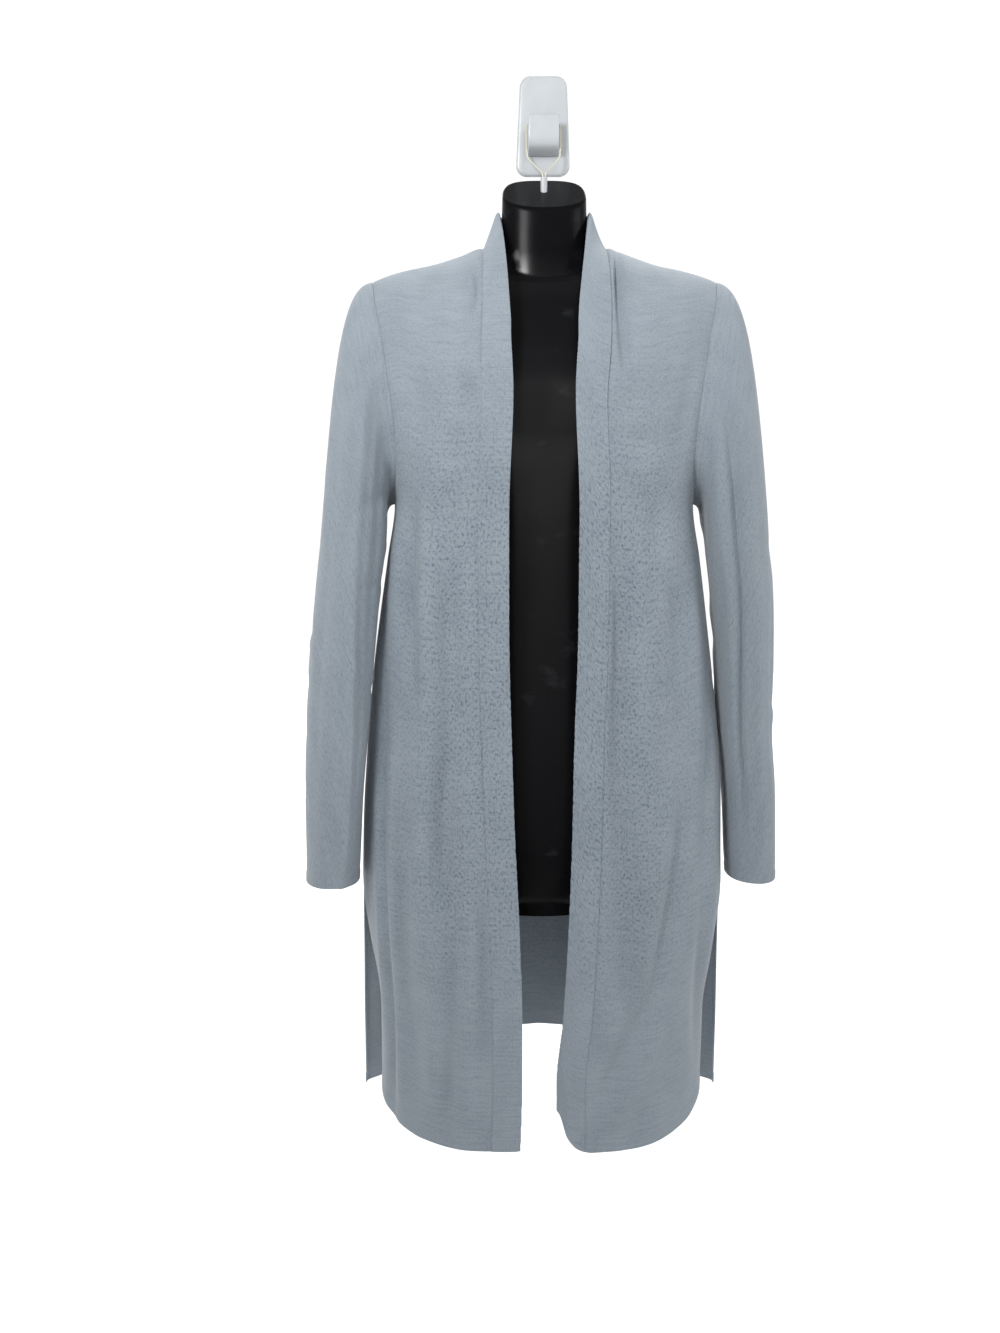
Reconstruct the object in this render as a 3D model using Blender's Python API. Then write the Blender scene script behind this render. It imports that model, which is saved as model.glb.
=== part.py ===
"""Open-front cardigan on a hanging torso form, with the form's cord and its wall hook.

Metres. X runs to the viewer's right, Z up, and Y into the wall, which is the plane Y = 0.
The origin is the middle of the hook's back. Depth is the distance out from the wall, so Y = -depth.
"""

import math

import bpy
import numpy as np

# Cloth
CLOTH = 0.0016
BAND_CLOTH = 0.0024
SEAM_GAP = 0.0004
ARMHOLE_GAP = 0.0014
FRONT_LOWER_ROWS = 24
BACK_LOWER_ROWS = 17
FRONT_LIFTS = np.concatenate([[0.015, 0.04, 0.075, 0.12], np.linspace(0.18, 1.0, 13)])
BACK_LIFTS = np.concatenate([[0.015, 0.04, 0.075, 0.12], np.linspace(0.18, 0.92, 8), [0.946, 0.973, 1.0]])

# Heights of the cardigan
UNDERARM = -0.385
NECK_POINT = 0.0605
RIDGE_GAP = 0.0007
SIDE_DEPTH = 0.062
BACK_DEPTH = 0.0052
BACK_EXPONENT = 3.6
FRONT_ROLL = 0.075
BACK_ROLL = 0.015
VENT_TOP = -0.770
VENT_FRONT = 0.012
VENT_STEP = 0.0200
VENT_BACK = 0.004

# Cross-sections of the body: height, half width, depth of the front, squareness of the front
BODY = np.array([
    (-1.050, 0.193, 0.160, 2.7),
    (-0.950, 0.193, 0.154, 2.7),
    (-0.850, 0.192, 0.149, 2.7),
    (-0.770, 0.1905, 0.146, 2.6),
    (-0.700, 0.188, 0.143, 2.6),
    (-0.630, 0.183, 0.140, 2.5),
    (-0.560, 0.176, 0.138, 2.4),
    (-0.500, 0.168, 0.136, 2.4),
    (-0.440, 0.159, 0.137, 2.4),
    (-0.385, 0.151, 0.140, 2.4),
    (-0.330, 0.160, 0.143, 2.4),
    (-0.280, 0.168, 0.140, 2.4),
    (-0.230, 0.176, 0.130, 2.4),
    (-0.180, 0.186, 0.116, 2.4),
    (-0.110, 0.192, 0.100, 2.4),
])

# Shoulder line: distance from the middle, height, depth of the seam
SHOULDER = np.array([
    (0.0000, -0.1400, 0.0220),
    (0.0300, -0.1385, 0.0220),
    (0.0500, -0.1320, 0.0220),
    (0.0605, -0.1280, 0.0220),
    (0.0850, -0.1370, 0.0260),
    (0.1100, -0.1455, 0.0310),
    (0.1400, -0.1530, 0.0370),
    (0.1720, -0.1640, 0.0420),
    (0.1900, -0.1740, 0.0440),
])

# Armhole seam: share of the way from underarm to shoulder, turn of the section at the seam in
# front and behind (0 is the middle front, 90 the side, 180 the middle back)
ARMHOLE = np.array([
    (0.00, 89.5, 90.5),
    (0.03, 82.0, 100.0),
    (0.08, 72.0, 112.0),
    (0.16, 64.5, 119.5),
    (0.30, 61.5, 124.5),
    (0.50, 61.5, 127.0),
    (0.75, 62.5, 124.0),
    (0.92, 64.4, 121.5),
    (1.00, 65.2, 120.2),
])

# Opening edges: height, distance from the middle on the viewer's left and right
OPENING = np.array([
    (-1.050, 0.0240, 0.0130),
    (-0.965, 0.0220, 0.0130),
    (-0.900, 0.0222, 0.0195),
    (-0.805, 0.0250, 0.0245),
    (-0.713, 0.0297, 0.0273),
    (-0.622, 0.0328, 0.0286),
    (-0.506, 0.0357, 0.0317),
    (-0.392, 0.0359, 0.0314),
    (-0.282, 0.0323, 0.0268),
    (-0.230, 0.0345, 0.0296),
])
BAND_WIDTH = 0.0290

# Top edge of the band round the neck: progress (0 on the chest, 1 at the shoulder seam, 2 at the
# middle of the back), distance from the middle, depth, height
NECK_EDGE = np.array([
    (0.00, 0.0355, 0.1200, -0.2000),
    (0.25, 0.0368, 0.1080, -0.1780),
    (0.50, 0.0390, 0.0900, -0.1490),
    (0.75, 0.0425, 0.0640, -0.1180),
    (1.00, 0.0468, 0.0330, -0.0930),
    (1.25, 0.0478, 0.0160, -0.0905),
    (1.50, 0.0400, 0.0062, -0.0925),
    (1.75, 0.0210, 0.0052, -0.1030),
    (2.00, 0.0000, 0.0052, -0.1080),
])
NECK_GAP = 0.0015

# Hems: share of the panel's width, height
FRONT_HEM = {
    "left": np.array([
        (0.00, -1.0300), (0.10, -1.0375), (0.45, -1.0390), (0.70, -1.0350), (0.85, -1.0260), (1.00, -1.0090)]),
    "right": np.array([
        (0.00, -0.9850), (0.07, -0.9960), (0.12, -1.0240), (0.18, -1.0360), (0.26, -1.0400), (0.40, -1.0403),
        (0.60, -1.0370), (0.85, -1.0250), (1.00, -1.0080)]),
}
BACK_HEM = np.array([(0.00, -0.9800), (0.40, -0.9850), (0.75, -1.0050), (1.00, -1.0220)])

# Folds of the fronts: x and height of the upper end, x and height of the lower end, half width,
# height of the ridge (below zero for a trough)
FOLDS = {
    "left": np.array([
        (-0.116, -0.400, -0.118, -0.640, 0.020, 0.0045),
        (-0.080, -0.340, -0.090, -0.800, 0.024, -0.0065),
        (-0.122, -0.720, -0.128, -1.060, 0.020, -0.0045),
        (-0.076, -0.800, -0.078, -1.060, 0.022, 0.0040),
    ]),
    "right": np.array([
        (0.080, -0.470, 0.088, -0.860, 0.022, -0.0065),
        (0.118, -0.420, 0.120, -0.760, 0.022, 0.0045),
        (0.110, -0.800, 0.100, -1.060, 0.026, 0.0040),
        (0.062, -0.880, 0.060, -1.060, 0.020, -0.0040),
    ]),
}

# Sleeves below the biceps: height, x and depth of the middle, half width, half depth, turn
SLEEVES = {
    "left": np.array([
        (-0.425, 0.1930, 0.0800, 0.0320, 0.0480, 14.0),
        (-0.480, 0.1990, 0.0880, 0.0310, 0.0460, 17.0),
        (-0.545, 0.2050, 0.0960, 0.0305, 0.0435, 20.0),
        (-0.610, 0.2095, 0.1000, 0.0295, 0.0415, 20.0),
        (-0.680, 0.2140, 0.1020, 0.0280, 0.0395, 18.0),
        (-0.740, 0.2165, 0.1010, 0.0270, 0.0375, 14.0),
        (-0.768, 0.2178, 0.1000, 0.0265, 0.0355, 10.0),
    ]),
    "right": np.array([
        (-0.425, 0.1975, 0.0700, 0.0310, 0.0490, 8.0),
        (-0.480, 0.2045, 0.0700, 0.0305, 0.0470, 8.0),
        (-0.545, 0.2085, 0.0700, 0.0290, 0.0450, 8.0),
        (-0.610, 0.2115, 0.0690, 0.0270, 0.0425, 6.0),
        (-0.680, 0.2185, 0.0680, 0.0265, 0.0400, 4.0),
        (-0.740, 0.2215, 0.0670, 0.0260, 0.0375, 2.0),
        (-0.775, 0.2235, 0.0660, 0.0245, 0.0350, 0.0),
    ]),
}
SLEEVE_EXPONENT = 2.3
SLEEVE_RIDGE = {"left": (62.0, 14.0, 0.0040), "right": (42.0, 16.0, -0.0030)}
CAP_RINGS = 8
ARM_RINGS = 13

# Torso form: height of the ring's middle, half width, depth of the front, tilt of the ring, and how
# far the back of its shoulders is from the flat of the back
FORM = np.array([
    (-0.0790, 0.0405, 0.0640, 0.75, 0.000),
    (-0.0810, 0.0420, 0.0660, 0.75, 0.000),
    (-0.0980, 0.0425, 0.0665, 0.60, 0.000),
    (-0.1160, 0.0430, 0.0675, 0.40, 0.000),
    (-0.1300, 0.0460, 0.0690, 0.20, 0.006),
    (-0.1385, 0.0640, 0.0710, 0.08, 0.013),
    (-0.1450, 0.0900, 0.0730, 0.03, 0.013),
    (-0.1520, 0.1170, 0.0735, 0.00, 0.013),
    (-0.1590, 0.1360, 0.0750, 0.00, 0.013),
    (-0.1720, 0.1480, 0.0790, 0.00, 0.007),
    (-0.1900, 0.1530, 0.0890, 0.00, 0.002),
    (-0.2180, 0.1540, 0.1030, 0.00, 0.000),
    (-0.2450, 0.1490, 0.1150, 0.00, 0.000),
    (-0.2800, 0.1410, 0.1250, 0.00, 0.000),
    (-0.3150, 0.1350, 0.1250, 0.00, 0.000),
    (-0.3550, 0.1290, 0.1150, 0.00, 0.000),
    (-0.4050, 0.1220, 0.1050, 0.00, 0.000),
    (-0.4600, 0.1180, 0.1010, 0.00, 0.000),
    (-0.5200, 0.1230, 0.1050, 0.00, 0.000),
    (-0.5800, 0.1350, 0.1110, 0.00, 0.000),
    (-0.6400, 0.1480, 0.1160, 0.00, 0.000),
    (-0.7000, 0.1560, 0.1180, 0.00, 0.000),
    (-0.7500, 0.1550, 0.1150, 0.00, 0.000),
    (-0.7850, 0.1460, 0.1060, 0.00, 0.000),
    (-0.8030, 0.1320, 0.0950, 0.00, 0.000),
    (-0.8110, 0.1120, 0.0830, 0.00, 0.000),
])
FORM_BACK = 0.0068
FORM_BACK_EXPONENT = 3.2
FORM_SIDE = 0.0400
FORM_ROUND = 36
BUST = (0.070, -0.300, 0.042, 0.046, 0.012)

# Cord and its ferrule in the neck
CORD_RADIUS = 0.0008
CORD = np.array([
    (-0.0011, 0.0300, -0.0660),
    (-0.0013, 0.0298, -0.0560),
    (-0.0085, 0.0230, -0.0455),
    (-0.0167, 0.0143, -0.0320),
    (-0.0174, 0.0125, -0.0200),
    (-0.0174, 0.0116, -0.0070),
    (-0.0169, 0.0115, -0.0024),
    (-0.0152, 0.0115, -0.0011),
    (-0.0080, 0.0115, -0.0017),
    (0.0080, 0.0115, -0.0017),
    (0.0152, 0.0115, -0.0011),
    (0.0169, 0.0115, -0.0024),
    (0.0174, 0.0116, -0.0070),
    (0.0174, 0.0125, -0.0200),
    (0.0167, 0.0143, -0.0320),
    (0.0085, 0.0230, -0.0455),
    (0.0013, 0.0298, -0.0560),
    (0.0011, 0.0300, -0.0660),
])
FERRULE_RADIUS = 0.0034
FERRULE_BORE = 0.0024
FERRULE_TOP = -0.0590
FERRULE_FOOT = -0.0800
FERRULE_FLOOR = -0.0720
FERRULE_DEPTH = 0.0300
HOLE_CLEARANCE = 0.0004

# Wall hook
PLATE_HALF_WIDTH = 0.0260
PLATE_HALF_HEIGHT = 0.0485
PLATE_CORNER = 0.0110
PLATE_DEPTH = 0.0040
NOSE_HALF_WIDTH = 0.0155
NOSE_PROFILE = np.array([
    (0.0030, -0.0030), (0.0145, -0.0030), (0.0160, -0.0010), (0.0170, 0.0050), (0.0190, 0.0062),
    (0.0212, 0.0045), (0.0216, -0.0150), (0.0200, -0.0220), (0.0160, -0.0265), (0.0080, -0.0285),
    (0.0030, -0.0305),
])


def smooth(table_x, table_y, x):
    """A smooth curve through the rows of a table that doesn't overshoot between them."""
    table_x = np.asarray(table_x, float)
    table_y = np.asarray(table_y, float)
    step = np.diff(table_x)
    rise = np.diff(table_y) / step
    slope = np.empty_like(table_y)
    slope[0] = rise[0]
    slope[-1] = rise[-1]
    before = rise[:-1]
    after = rise[1:]
    same = before * after > 0
    with np.errstate(divide="ignore", invalid="ignore"):
        slope[1:-1] = np.where(same, 2 * before * after / (before + after), 0.0)
    x = np.clip(x, table_x[0], table_x[-1])
    cell = np.clip(np.searchsorted(table_x, x) - 1, 0, len(step) - 1)
    share = (x - table_x[cell]) / step[cell]
    low = table_y[cell]
    high = table_y[cell + 1]
    out = slope[cell] * step[cell]
    into = slope[cell + 1] * step[cell]
    return (
        low * (1 + 2 * share) * (1 - share) ** 2
        + out * share * (1 - share) ** 2
        + high * share ** 2 * (3 - 2 * share)
        + into * share ** 2 * (share - 1)
    )


def ease(low, high, x):
    share = np.clip((x - low) / (high - low), 0.0, 1.0)
    return share * share * (3 - 2 * share)


def body_at(z):
    """Half width, front depth and squareness of the body at a height."""
    return (smooth(BODY[:, 0], BODY[:, k], z) for k in (1, 2, 3))


def shoulder_height(x):
    return smooth(SHOULDER[:, 0], SHOULDER[:, 1], np.abs(x))


def shoulder_depth(x):
    return smooth(SHOULDER[:, 0], SHOULDER[:, 2], np.abs(x))


def front_point(turn, lift):
    """A point of the front half. turn is in degrees, lift runs from 0 at the underarm to 1 at the shoulder."""
    sine = np.sin(np.radians(turn))
    cosine = np.cos(np.radians(turn))
    climb = np.clip(lift / 0.5, 0.0, 1.0)
    roll = np.radians(90 * np.clip((lift - 0.5) / 0.5, 0.0, 1.0))
    z = np.full_like(sine, UNDERARM + climb * 0.1)
    for _ in range(12):
        half, front, square = body_at(z)
        x = half * sine ** (2 / square)
        start = shoulder_height(x) - FRONT_ROLL
        z = UNDERARM + climb * (start - UNDERARM) + FRONT_ROLL * np.sin(roll)
    depth = SIDE_DEPTH + (front - SIDE_DEPTH) * np.maximum(cosine, 0) ** (2 / square)
    seam = shoulder_depth(x) + RIDGE_GAP
    depth = seam + (depth - seam) * np.cos(roll)
    return np.stack([x, depth, z], -1)


def back_point(turn, lift):
    """A point of the back half; it is nearly flat and rolls forward to the shoulder ridge at the top."""
    sine = np.sin(np.radians(turn))
    cosine = np.abs(np.cos(np.radians(turn)))
    climb = np.clip(lift / 0.92, 0.0, 1.0)
    roll = np.radians(90 * np.clip((lift - 0.92) / 0.08, 0.0, 1.0))
    z = np.full_like(sine, UNDERARM + climb * 0.1)
    for _ in range(12):
        half = smooth(BODY[:, 0], BODY[:, 1], z)
        x = half * sine ** (2 / BACK_EXPONENT)
        start = shoulder_height(x) - BACK_ROLL
        z = UNDERARM + climb * (start - UNDERARM) + BACK_ROLL * np.sin(roll)
    depth = SIDE_DEPTH - (SIDE_DEPTH - BACK_DEPTH) * cosine ** (2 / BACK_EXPONENT)
    ridge = shoulder_depth(x) - RIDGE_GAP
    lean = (1 - np.cos(roll)) * ease(0.044, NECK_POINT, x)
    depth = depth + (ridge - depth) * lean
    return np.stack([x, depth, z], -1)


def resampled(line, count, trim_start, trim_end):
    """Points at equal steps along a line, with a little left off each end."""
    length = np.concatenate([[0], np.cumsum(np.linalg.norm(np.diff(line, axis=0), axis=1))])
    want = np.linspace(trim_start, length[-1] - trim_end, count)
    return np.stack([np.interp(want, length, line[:, k]) for k in range(3)], -1)


def opening(side, z):
    column = 1 if side == "left" else 2
    return smooth(OPENING[:, 0], OPENING[:, column], z)


def folded(points, side):
    """Moves points out or in along the depth for the folds named in the table."""
    moved = points.copy()
    for x_high, z_high, x_low, z_low, width, height in FOLDS[side]:
        share = (z_high - points[..., 2]) / (z_high - z_low)
        middle = abs(x_high) + (abs(x_low) - abs(x_high)) * np.clip(share, 0, 1)
        ends = ease(-0.12, 0.15, share) * (1 - ease(0.85, 1.12, share))
        across = (points[..., 0] - middle) / width
        moved[..., 1] += height * ends * np.exp(-across ** 2)
    return moved


def lower_row(side, share):
    """One row of a front below the underarm, from the opening edge to the side, the hem at share 1."""
    turn = np.radians(np.linspace(0.0, 90.0, 400))
    across = np.sin(turn) ** (2 / 2.5)
    hem = smooth(FRONT_HEM[side][:, 0], FRONT_HEM[side][:, 1], across)
    z = UNDERARM + share * (hem - UNDERARM)
    half, front, square = body_at(z)
    half = half - VENT_STEP * ease(0.0, 1.0, (VENT_TOP - z) / 0.15)
    x = half * np.sin(turn) ** (2 / square)
    depth = SIDE_DEPTH + (front - SIDE_DEPTH) * np.cos(turn) ** (2 / square)
    line = np.stack([x, depth, z], -1)
    vent = VENT_FRONT * ease(0.0, 1.0, (VENT_TOP - z[-1]) / 0.13)
    return line[x >= opening(side, z)], vent


def front_rows(side):
    """Rows of the whole front with its band, before the two are parted."""
    rows = [lower_row(side, share) for share in np.linspace(1.0, 0.0, FRONT_LOWER_ROWS)]
    for lift in FRONT_LIFTS:
        edge_turn = smooth(ARMHOLE[:, 0], ARMHOLE[:, 1], lift)
        rows.append((front_point(np.linspace(5.0, edge_turn, 400), np.full(400, lift)), 0.0))
    return rows


def seam_x(side, z):
    """Where the band's seam lies: beside the opening below, closing to the neck point above."""
    low = opening(side, np.minimum(z, -0.23)) + BAND_WIDTH
    return low + (NECK_POINT - low) * ease(-0.30, -0.19, z)


def front_grid(side, sign, columns):
    """Points of the front panel, hem first, from the band's seam to the side seam or armhole."""
    grid = []
    for line, vent in front_rows(side):
        keep = line[:, 0] >= seam_x(side, line[:, 2])
        grid.append(resampled(line[keep], columns, SEAM_GAP, SEAM_GAP + vent))
    grid = folded(np.array(grid), side)
    grid[..., 0] *= sign
    return grid


def band_grid(columns):
    """Points of the band from hem to hem, each row from the top or opening edge to the seam edge."""
    halves = {}
    for side in ("left", "right"):
        rows = []
        for share in np.linspace(1.0, 0.0, FRONT_LOWER_ROWS):
            line, _ = lower_row(side, share)
            keep = line[:, 0] <= seam_x(side, line[:, 2])
            rows.append(resampled(line[keep], columns, 0.0, 0.0))
        for lift in FRONT_LIFTS[FRONT_LIFTS < 0.5]:
            line = front_point(np.linspace(5.0, 60.0, 400), np.full(400, lift))
            x = line[:, 0]
            keep = (x >= opening(side, np.minimum(line[:, 2], -0.23))) & (x <= seam_x(side, line[:, 2]))
            rows.append(resampled(line[keep], columns, 0.0, 0.0))
        halves[side] = folded(np.array(rows), side)
        halves[side] = np.concatenate([halves[side], neck_rows(side, columns)])
    left = halves["left"]
    right = halves["right"][:-1]
    left[..., 0] *= -1
    return np.concatenate([left, right[::-1]])


def neck_rows(side, columns):
    """Rows of the band that stands round the neck, from the chest to the middle of the back."""
    seam = []
    for lift in FRONT_LIFTS[FRONT_LIFTS >= 0.5]:
        line = front_point(np.linspace(5.0, 60.0, 400), np.full(400, lift))
        inside = line[line[:, 0] >= seam_x(side, line[:, 2])][0]
        seam.append((2 * (lift - 0.5), *(inside - [NECK_GAP, 0.0, 0.0])))
    top_row = back_point(np.linspace(180.0, 155.0, 800), np.ones(800))
    for x in (0.0570, 0.0520, 0.0450, 0.0350, 0.0230, 0.0110, 0.0):
        point = top_row[np.argmin(np.abs(top_row[:, 0] - x))]
        progress = 2 - x / NECK_POINT
        seam.append((progress, x, point[1], point[2] + 0.0006 + 0.0010 * ease(0.030, 0.057, x)))
    seam = np.array(seam)
    edge = np.stack([smooth(NECK_EDGE[:, 0], NECK_EDGE[:, k], seam[:, 0]) for k in (1, 2, 3)], -1)
    across = np.linspace(0, 1, columns)[None, :, None]
    return edge[:, None] + across * (seam[:, None, 1:] - edge[:, None])


def back_grid(columns):
    """Points of the back, hem first, from one side seam or armhole across to the other."""
    grid = []
    half_columns = columns // 2 + 1
    turn = np.radians(np.linspace(180.0, 90.0, 400))
    across = np.abs(np.sin(turn)) ** (2 / BACK_EXPONENT)
    across[0] = 0.0
    hem = smooth(BACK_HEM[:, 0], BACK_HEM[:, 1], across)
    flat = np.abs(np.cos(turn)) ** (2 / BACK_EXPONENT)
    for share in np.linspace(1.0, 0.0, BACK_LOWER_ROWS):
        z = UNDERARM + share * (hem - UNDERARM)
        x = smooth(BODY[:, 0], BODY[:, 1], z) * across
        line = np.stack([x, SIDE_DEPTH - (SIDE_DEPTH - BACK_DEPTH) * flat, z], -1)
        vent = VENT_BACK * ease(0.0, 1.0, (VENT_TOP - z[-1]) / 0.11)
        grid.append(resampled(line, half_columns, 0.0, SEAM_GAP + vent))
    for lift in BACK_LIFTS:
        edge_turn = smooth(ARMHOLE[:, 0], ARMHOLE[:, 2], lift)
        turn = np.linspace(180.0, edge_turn, 400)
        line = back_point(turn, np.full(400, lift))
        line[0, 0] = 0.0
        grid.append(resampled(line, half_columns, 0.0, SEAM_GAP))
    half = np.array(grid)
    mirrored = half[:, :0:-1].copy()
    mirrored[..., 0] *= -1
    return np.concatenate([mirrored, half], axis=1)


def placed(points):
    """Turns x, depth and height into X, Y and Z."""
    out = points.copy()
    out[..., 1] = -points[..., 1]
    return out


def surface_normals(grid):
    along = np.gradient(grid, axis=0)
    across = np.gradient(grid, axis=1)
    normal = np.cross(along, across)
    return normal / np.linalg.norm(normal, axis=-1, keepdims=True)


def material(name, colour, roughness, metallic=0.0):
    made = bpy.data.materials.new(name)
    made.use_nodes = True
    shader = made.node_tree.nodes["Principled BSDF"]
    shader.inputs["Base Color"].default_value = (*colour, 1.0)
    shader.inputs["Roughness"].default_value = roughness
    shader.inputs["Metallic"].default_value = metallic
    return made


def solid(name, points, faces, made):
    mesh = bpy.data.meshes.new(name)
    mesh.from_pydata([tuple(p) for p in points], [], faces)
    mesh.validate()
    mesh.materials.append(made)
    body = bpy.data.objects.new(name, mesh)
    bpy.context.scene.collection.objects.link(body)
    return body


def wall(name, grid, thickness, made):
    """A closed cloth wall: the grid moved half a thickness to each side and stitched round its border."""
    rows, columns = grid.shape[:2]
    offset = surface_normals(grid) * thickness / 2
    points = np.concatenate([(grid + offset).reshape(-1, 3), (grid - offset).reshape(-1, 3)])
    count = rows * columns
    faces = []
    for i in range(rows - 1):
        for j in range(columns - 1):
            a = i * columns + j
            b = a + 1
            c = a + columns + 1
            d = a + columns
            faces.append((a, d, c, b))
            faces.append((count + a, count + b, count + c, count + d))
    border = [(0, j) for j in range(columns)]
    border += [(i, columns - 1) for i in range(1, rows)]
    border += [(rows - 1, j) for j in range(columns - 2, -1, -1)]
    border += [(i, 0) for i in range(rows - 2, 0, -1)]
    for k, (i, j) in enumerate(border):
        m, n = border[(k + 1) % len(border)]
        a = i * columns + j
        b = m * columns + n
        faces.append((a, b, count + b, count + a))
    return solid(name, points, faces, made)


def tube_wall(name, rings, thickness, made):
    """A closed cloth wall round an open tube of rings."""
    count, around = rings.shape[:2]
    along = np.gradient(rings, axis=0)
    round_it = np.roll(rings, -1, axis=1) - np.roll(rings, 1, axis=1)
    normal = np.cross(along, round_it)
    normal /= np.linalg.norm(normal, axis=-1, keepdims=True)
    middle = rings[count // 2].mean(axis=0)
    outward = ((rings[count // 2] - middle) * normal[count // 2]).sum()
    normal *= 1.0 if outward > 0 else -1.0
    points = np.concatenate([
        (rings + normal * thickness / 2).reshape(-1, 3),
        (rings - normal * thickness / 2).reshape(-1, 3)])
    inner = count * around
    faces = []
    for i in range(count - 1):
        for j in range(around):
            a = i * around + j
            b = i * around + (j + 1) % around
            c = b + around
            d = a + around
            faces.append((a, b, c, d))
            faces.append((inner + a, inner + d, inner + c, inner + b))
    last = (count - 1) * around
    for j in range(around):
        k = (j + 1) % around
        faces.append((inner + j, inner + k, k, j))
        faces.append((last + j, last + k, inner + last + k, inner + last + j))
    return solid(name, points, faces, made)


def armhole_loop(front, back, sign):
    """The armhole from the shoulder down the front, under the arm and up the back."""
    edge_front = front[FRONT_LOWER_ROWS - 1:, -1]
    edge_back = back[BACK_LOWER_ROWS - 1:, -1 if sign > 0 else 0]
    edge_front = edge_front[::-1]
    top = (edge_front[:1] + edge_back[-1:]) / 2
    under = (edge_front[-1:] + edge_back[:1]) / 2
    loop = np.concatenate([top, edge_front[1:-1], under, edge_back[1:-1]])
    loop[:, 0] = np.abs(loop[:, 0])
    return loop


def sleeve_ring(side, height, angles):
    table = SLEEVES[side]
    key = -table[:, 0]
    x, depth, half_x, half_y, turn = (smooth(key, table[:, k], -height) for k in range(1, 6))
    at, spread, size = SLEEVE_RIDGE[side]
    degrees = np.degrees(angles)
    away = (degrees - at + 180) % 360 - 180
    bump = size * np.exp(-(away / spread) ** 2)
    cosine = np.cos(angles)
    sine = np.sin(angles)
    local_x = (half_x + bump) * np.sign(cosine) * np.abs(cosine) ** (2 / SLEEVE_EXPONENT)
    local_y = (half_y + bump) * np.sign(sine) * np.abs(sine) ** (2 / SLEEVE_EXPONENT)
    lean = np.radians(turn)
    return np.stack([
        x + local_x * np.cos(lean) - local_y * np.sin(lean),
        depth + local_x * np.sin(lean) + local_y * np.cos(lean),
        np.full_like(angles, height)], -1)


def closed_length(line):
    """The length round a closed line up to each of its points, and back at the first."""
    shut = np.concatenate([line, line[:1]])
    return np.concatenate([[0], np.cumsum(np.linalg.norm(np.diff(shut, axis=0), axis=1))])


def closed_resample(line, shares):
    """Points at the given shares of the way round a closed line, starting at its first point."""
    shut = np.concatenate([line, line[:1]])
    length = closed_length(line)
    return np.stack([np.interp(shares * length[-1], length, shut[:, k]) for k in range(3)], -1)


def sleeve_rings(side, sign, front, back):
    """Rings of the sleeve from the armhole seam over its cap and down to the cuff."""
    start = armhole_loop(front, back, sign)
    length = closed_length(start)
    shares = length[:-1] / length[-1]
    dense = np.linspace(0, 2 * math.pi, 400, endpoint=False)
    table = SLEEVES[side]
    top = table[0, 0]
    ring = closed_resample(sleeve_ring(side, top, dense), shares)
    drop = start[:, 2] - ring[:, 2]
    high = ease(0.04, 0.24, drop)
    still = np.zeros_like(drop)
    seam = start + np.array([ARMHOLE_GAP, 0.0, 0.0])
    push = start + np.stack([0.012 + 0.022 * high, still, -0.004 * high], -1)
    pull = ring + np.stack([-0.062 * drop, still, 0.62 * drop], -1)
    rings = []
    for share in np.linspace(0, 1, CAP_RINGS) ** 1.15:
        rest = 1 - share
        rings.append(
            rest ** 3 * seam + 3 * rest ** 2 * share * push
            + 3 * rest * share ** 2 * pull + share ** 3 * ring)
    for height in np.linspace(top, table[-1, 0], ARM_RINGS)[1:]:
        rings.append(closed_resample(sleeve_ring(side, height, dense), shares))
    rings = np.array(rings)
    rings[..., 0] *= sign
    return rings


def form_ring(height, half, front, tilt, rise):
    turn = np.linspace(0, 2 * math.pi, FORM_ROUND, endpoint=False)
    cosine = np.cos(turn)
    sine = np.sin(turn)
    squareness = np.where(cosine > 0, 2.2, FORM_BACK_EXPONENT)
    x = half * np.sign(sine) * np.abs(sine) ** (2 / squareness)
    ahead = FORM_SIDE + (front - FORM_SIDE) * np.maximum(cosine, 0) ** (2 / 2.2)
    back = FORM_BACK + rise * ease(0.043, 0.070, np.abs(x))
    behind = FORM_SIDE - (FORM_SIDE - back) * np.maximum(-cosine, 0) ** (2 / FORM_BACK_EXPONENT)
    depth = np.where(cosine > 0, ahead, behind)
    bust_x, bust_z, wide, tall, swell = BUST
    near = np.exp(-((np.abs(x) - bust_x) / wide) ** 2 - ((height - bust_z) / tall) ** 2)
    depth = depth + swell * near * ease(0.2, 0.7, cosine)
    z = height - tilt * (depth - FORM_SIDE)
    return np.stack([x, -depth, z], -1)


def torso_form(made):
    key = -FORM[:, 0]
    rings = [form_ring(*row) for row in FORM[:1]]
    heights = np.concatenate([FORM[1:12, 0], np.linspace(FORM[11, 0], FORM[22, 0], 18)[1:], FORM[23:, 0]])
    for height in heights:
        rings.append(form_ring(height, *(smooth(key, FORM[:, k], -height) for k in (1, 2, 3, 4))))
    count = len(rings)
    points = np.concatenate(rings)
    faces = [tuple(range(FORM_ROUND))]
    for i in range(count - 1):
        for j in range(FORM_ROUND):
            a = i * FORM_ROUND + j
            b = i * FORM_ROUND + (j + 1) % FORM_ROUND
            faces.append((a, a + FORM_ROUND, b + FORM_ROUND, b))
    faces.append(tuple((count - 1) * FORM_ROUND + j for j in range(FORM_ROUND - 1, -1, -1)))
    body = solid("torso_form", points, faces, made)
    hole = cylinder("neck_hole", FERRULE_RADIUS + HOLE_CLEARANCE, FERRULE_FOOT - HOLE_CLEARANCE, -0.03, made)
    difference(body, hole)
    return body


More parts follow.
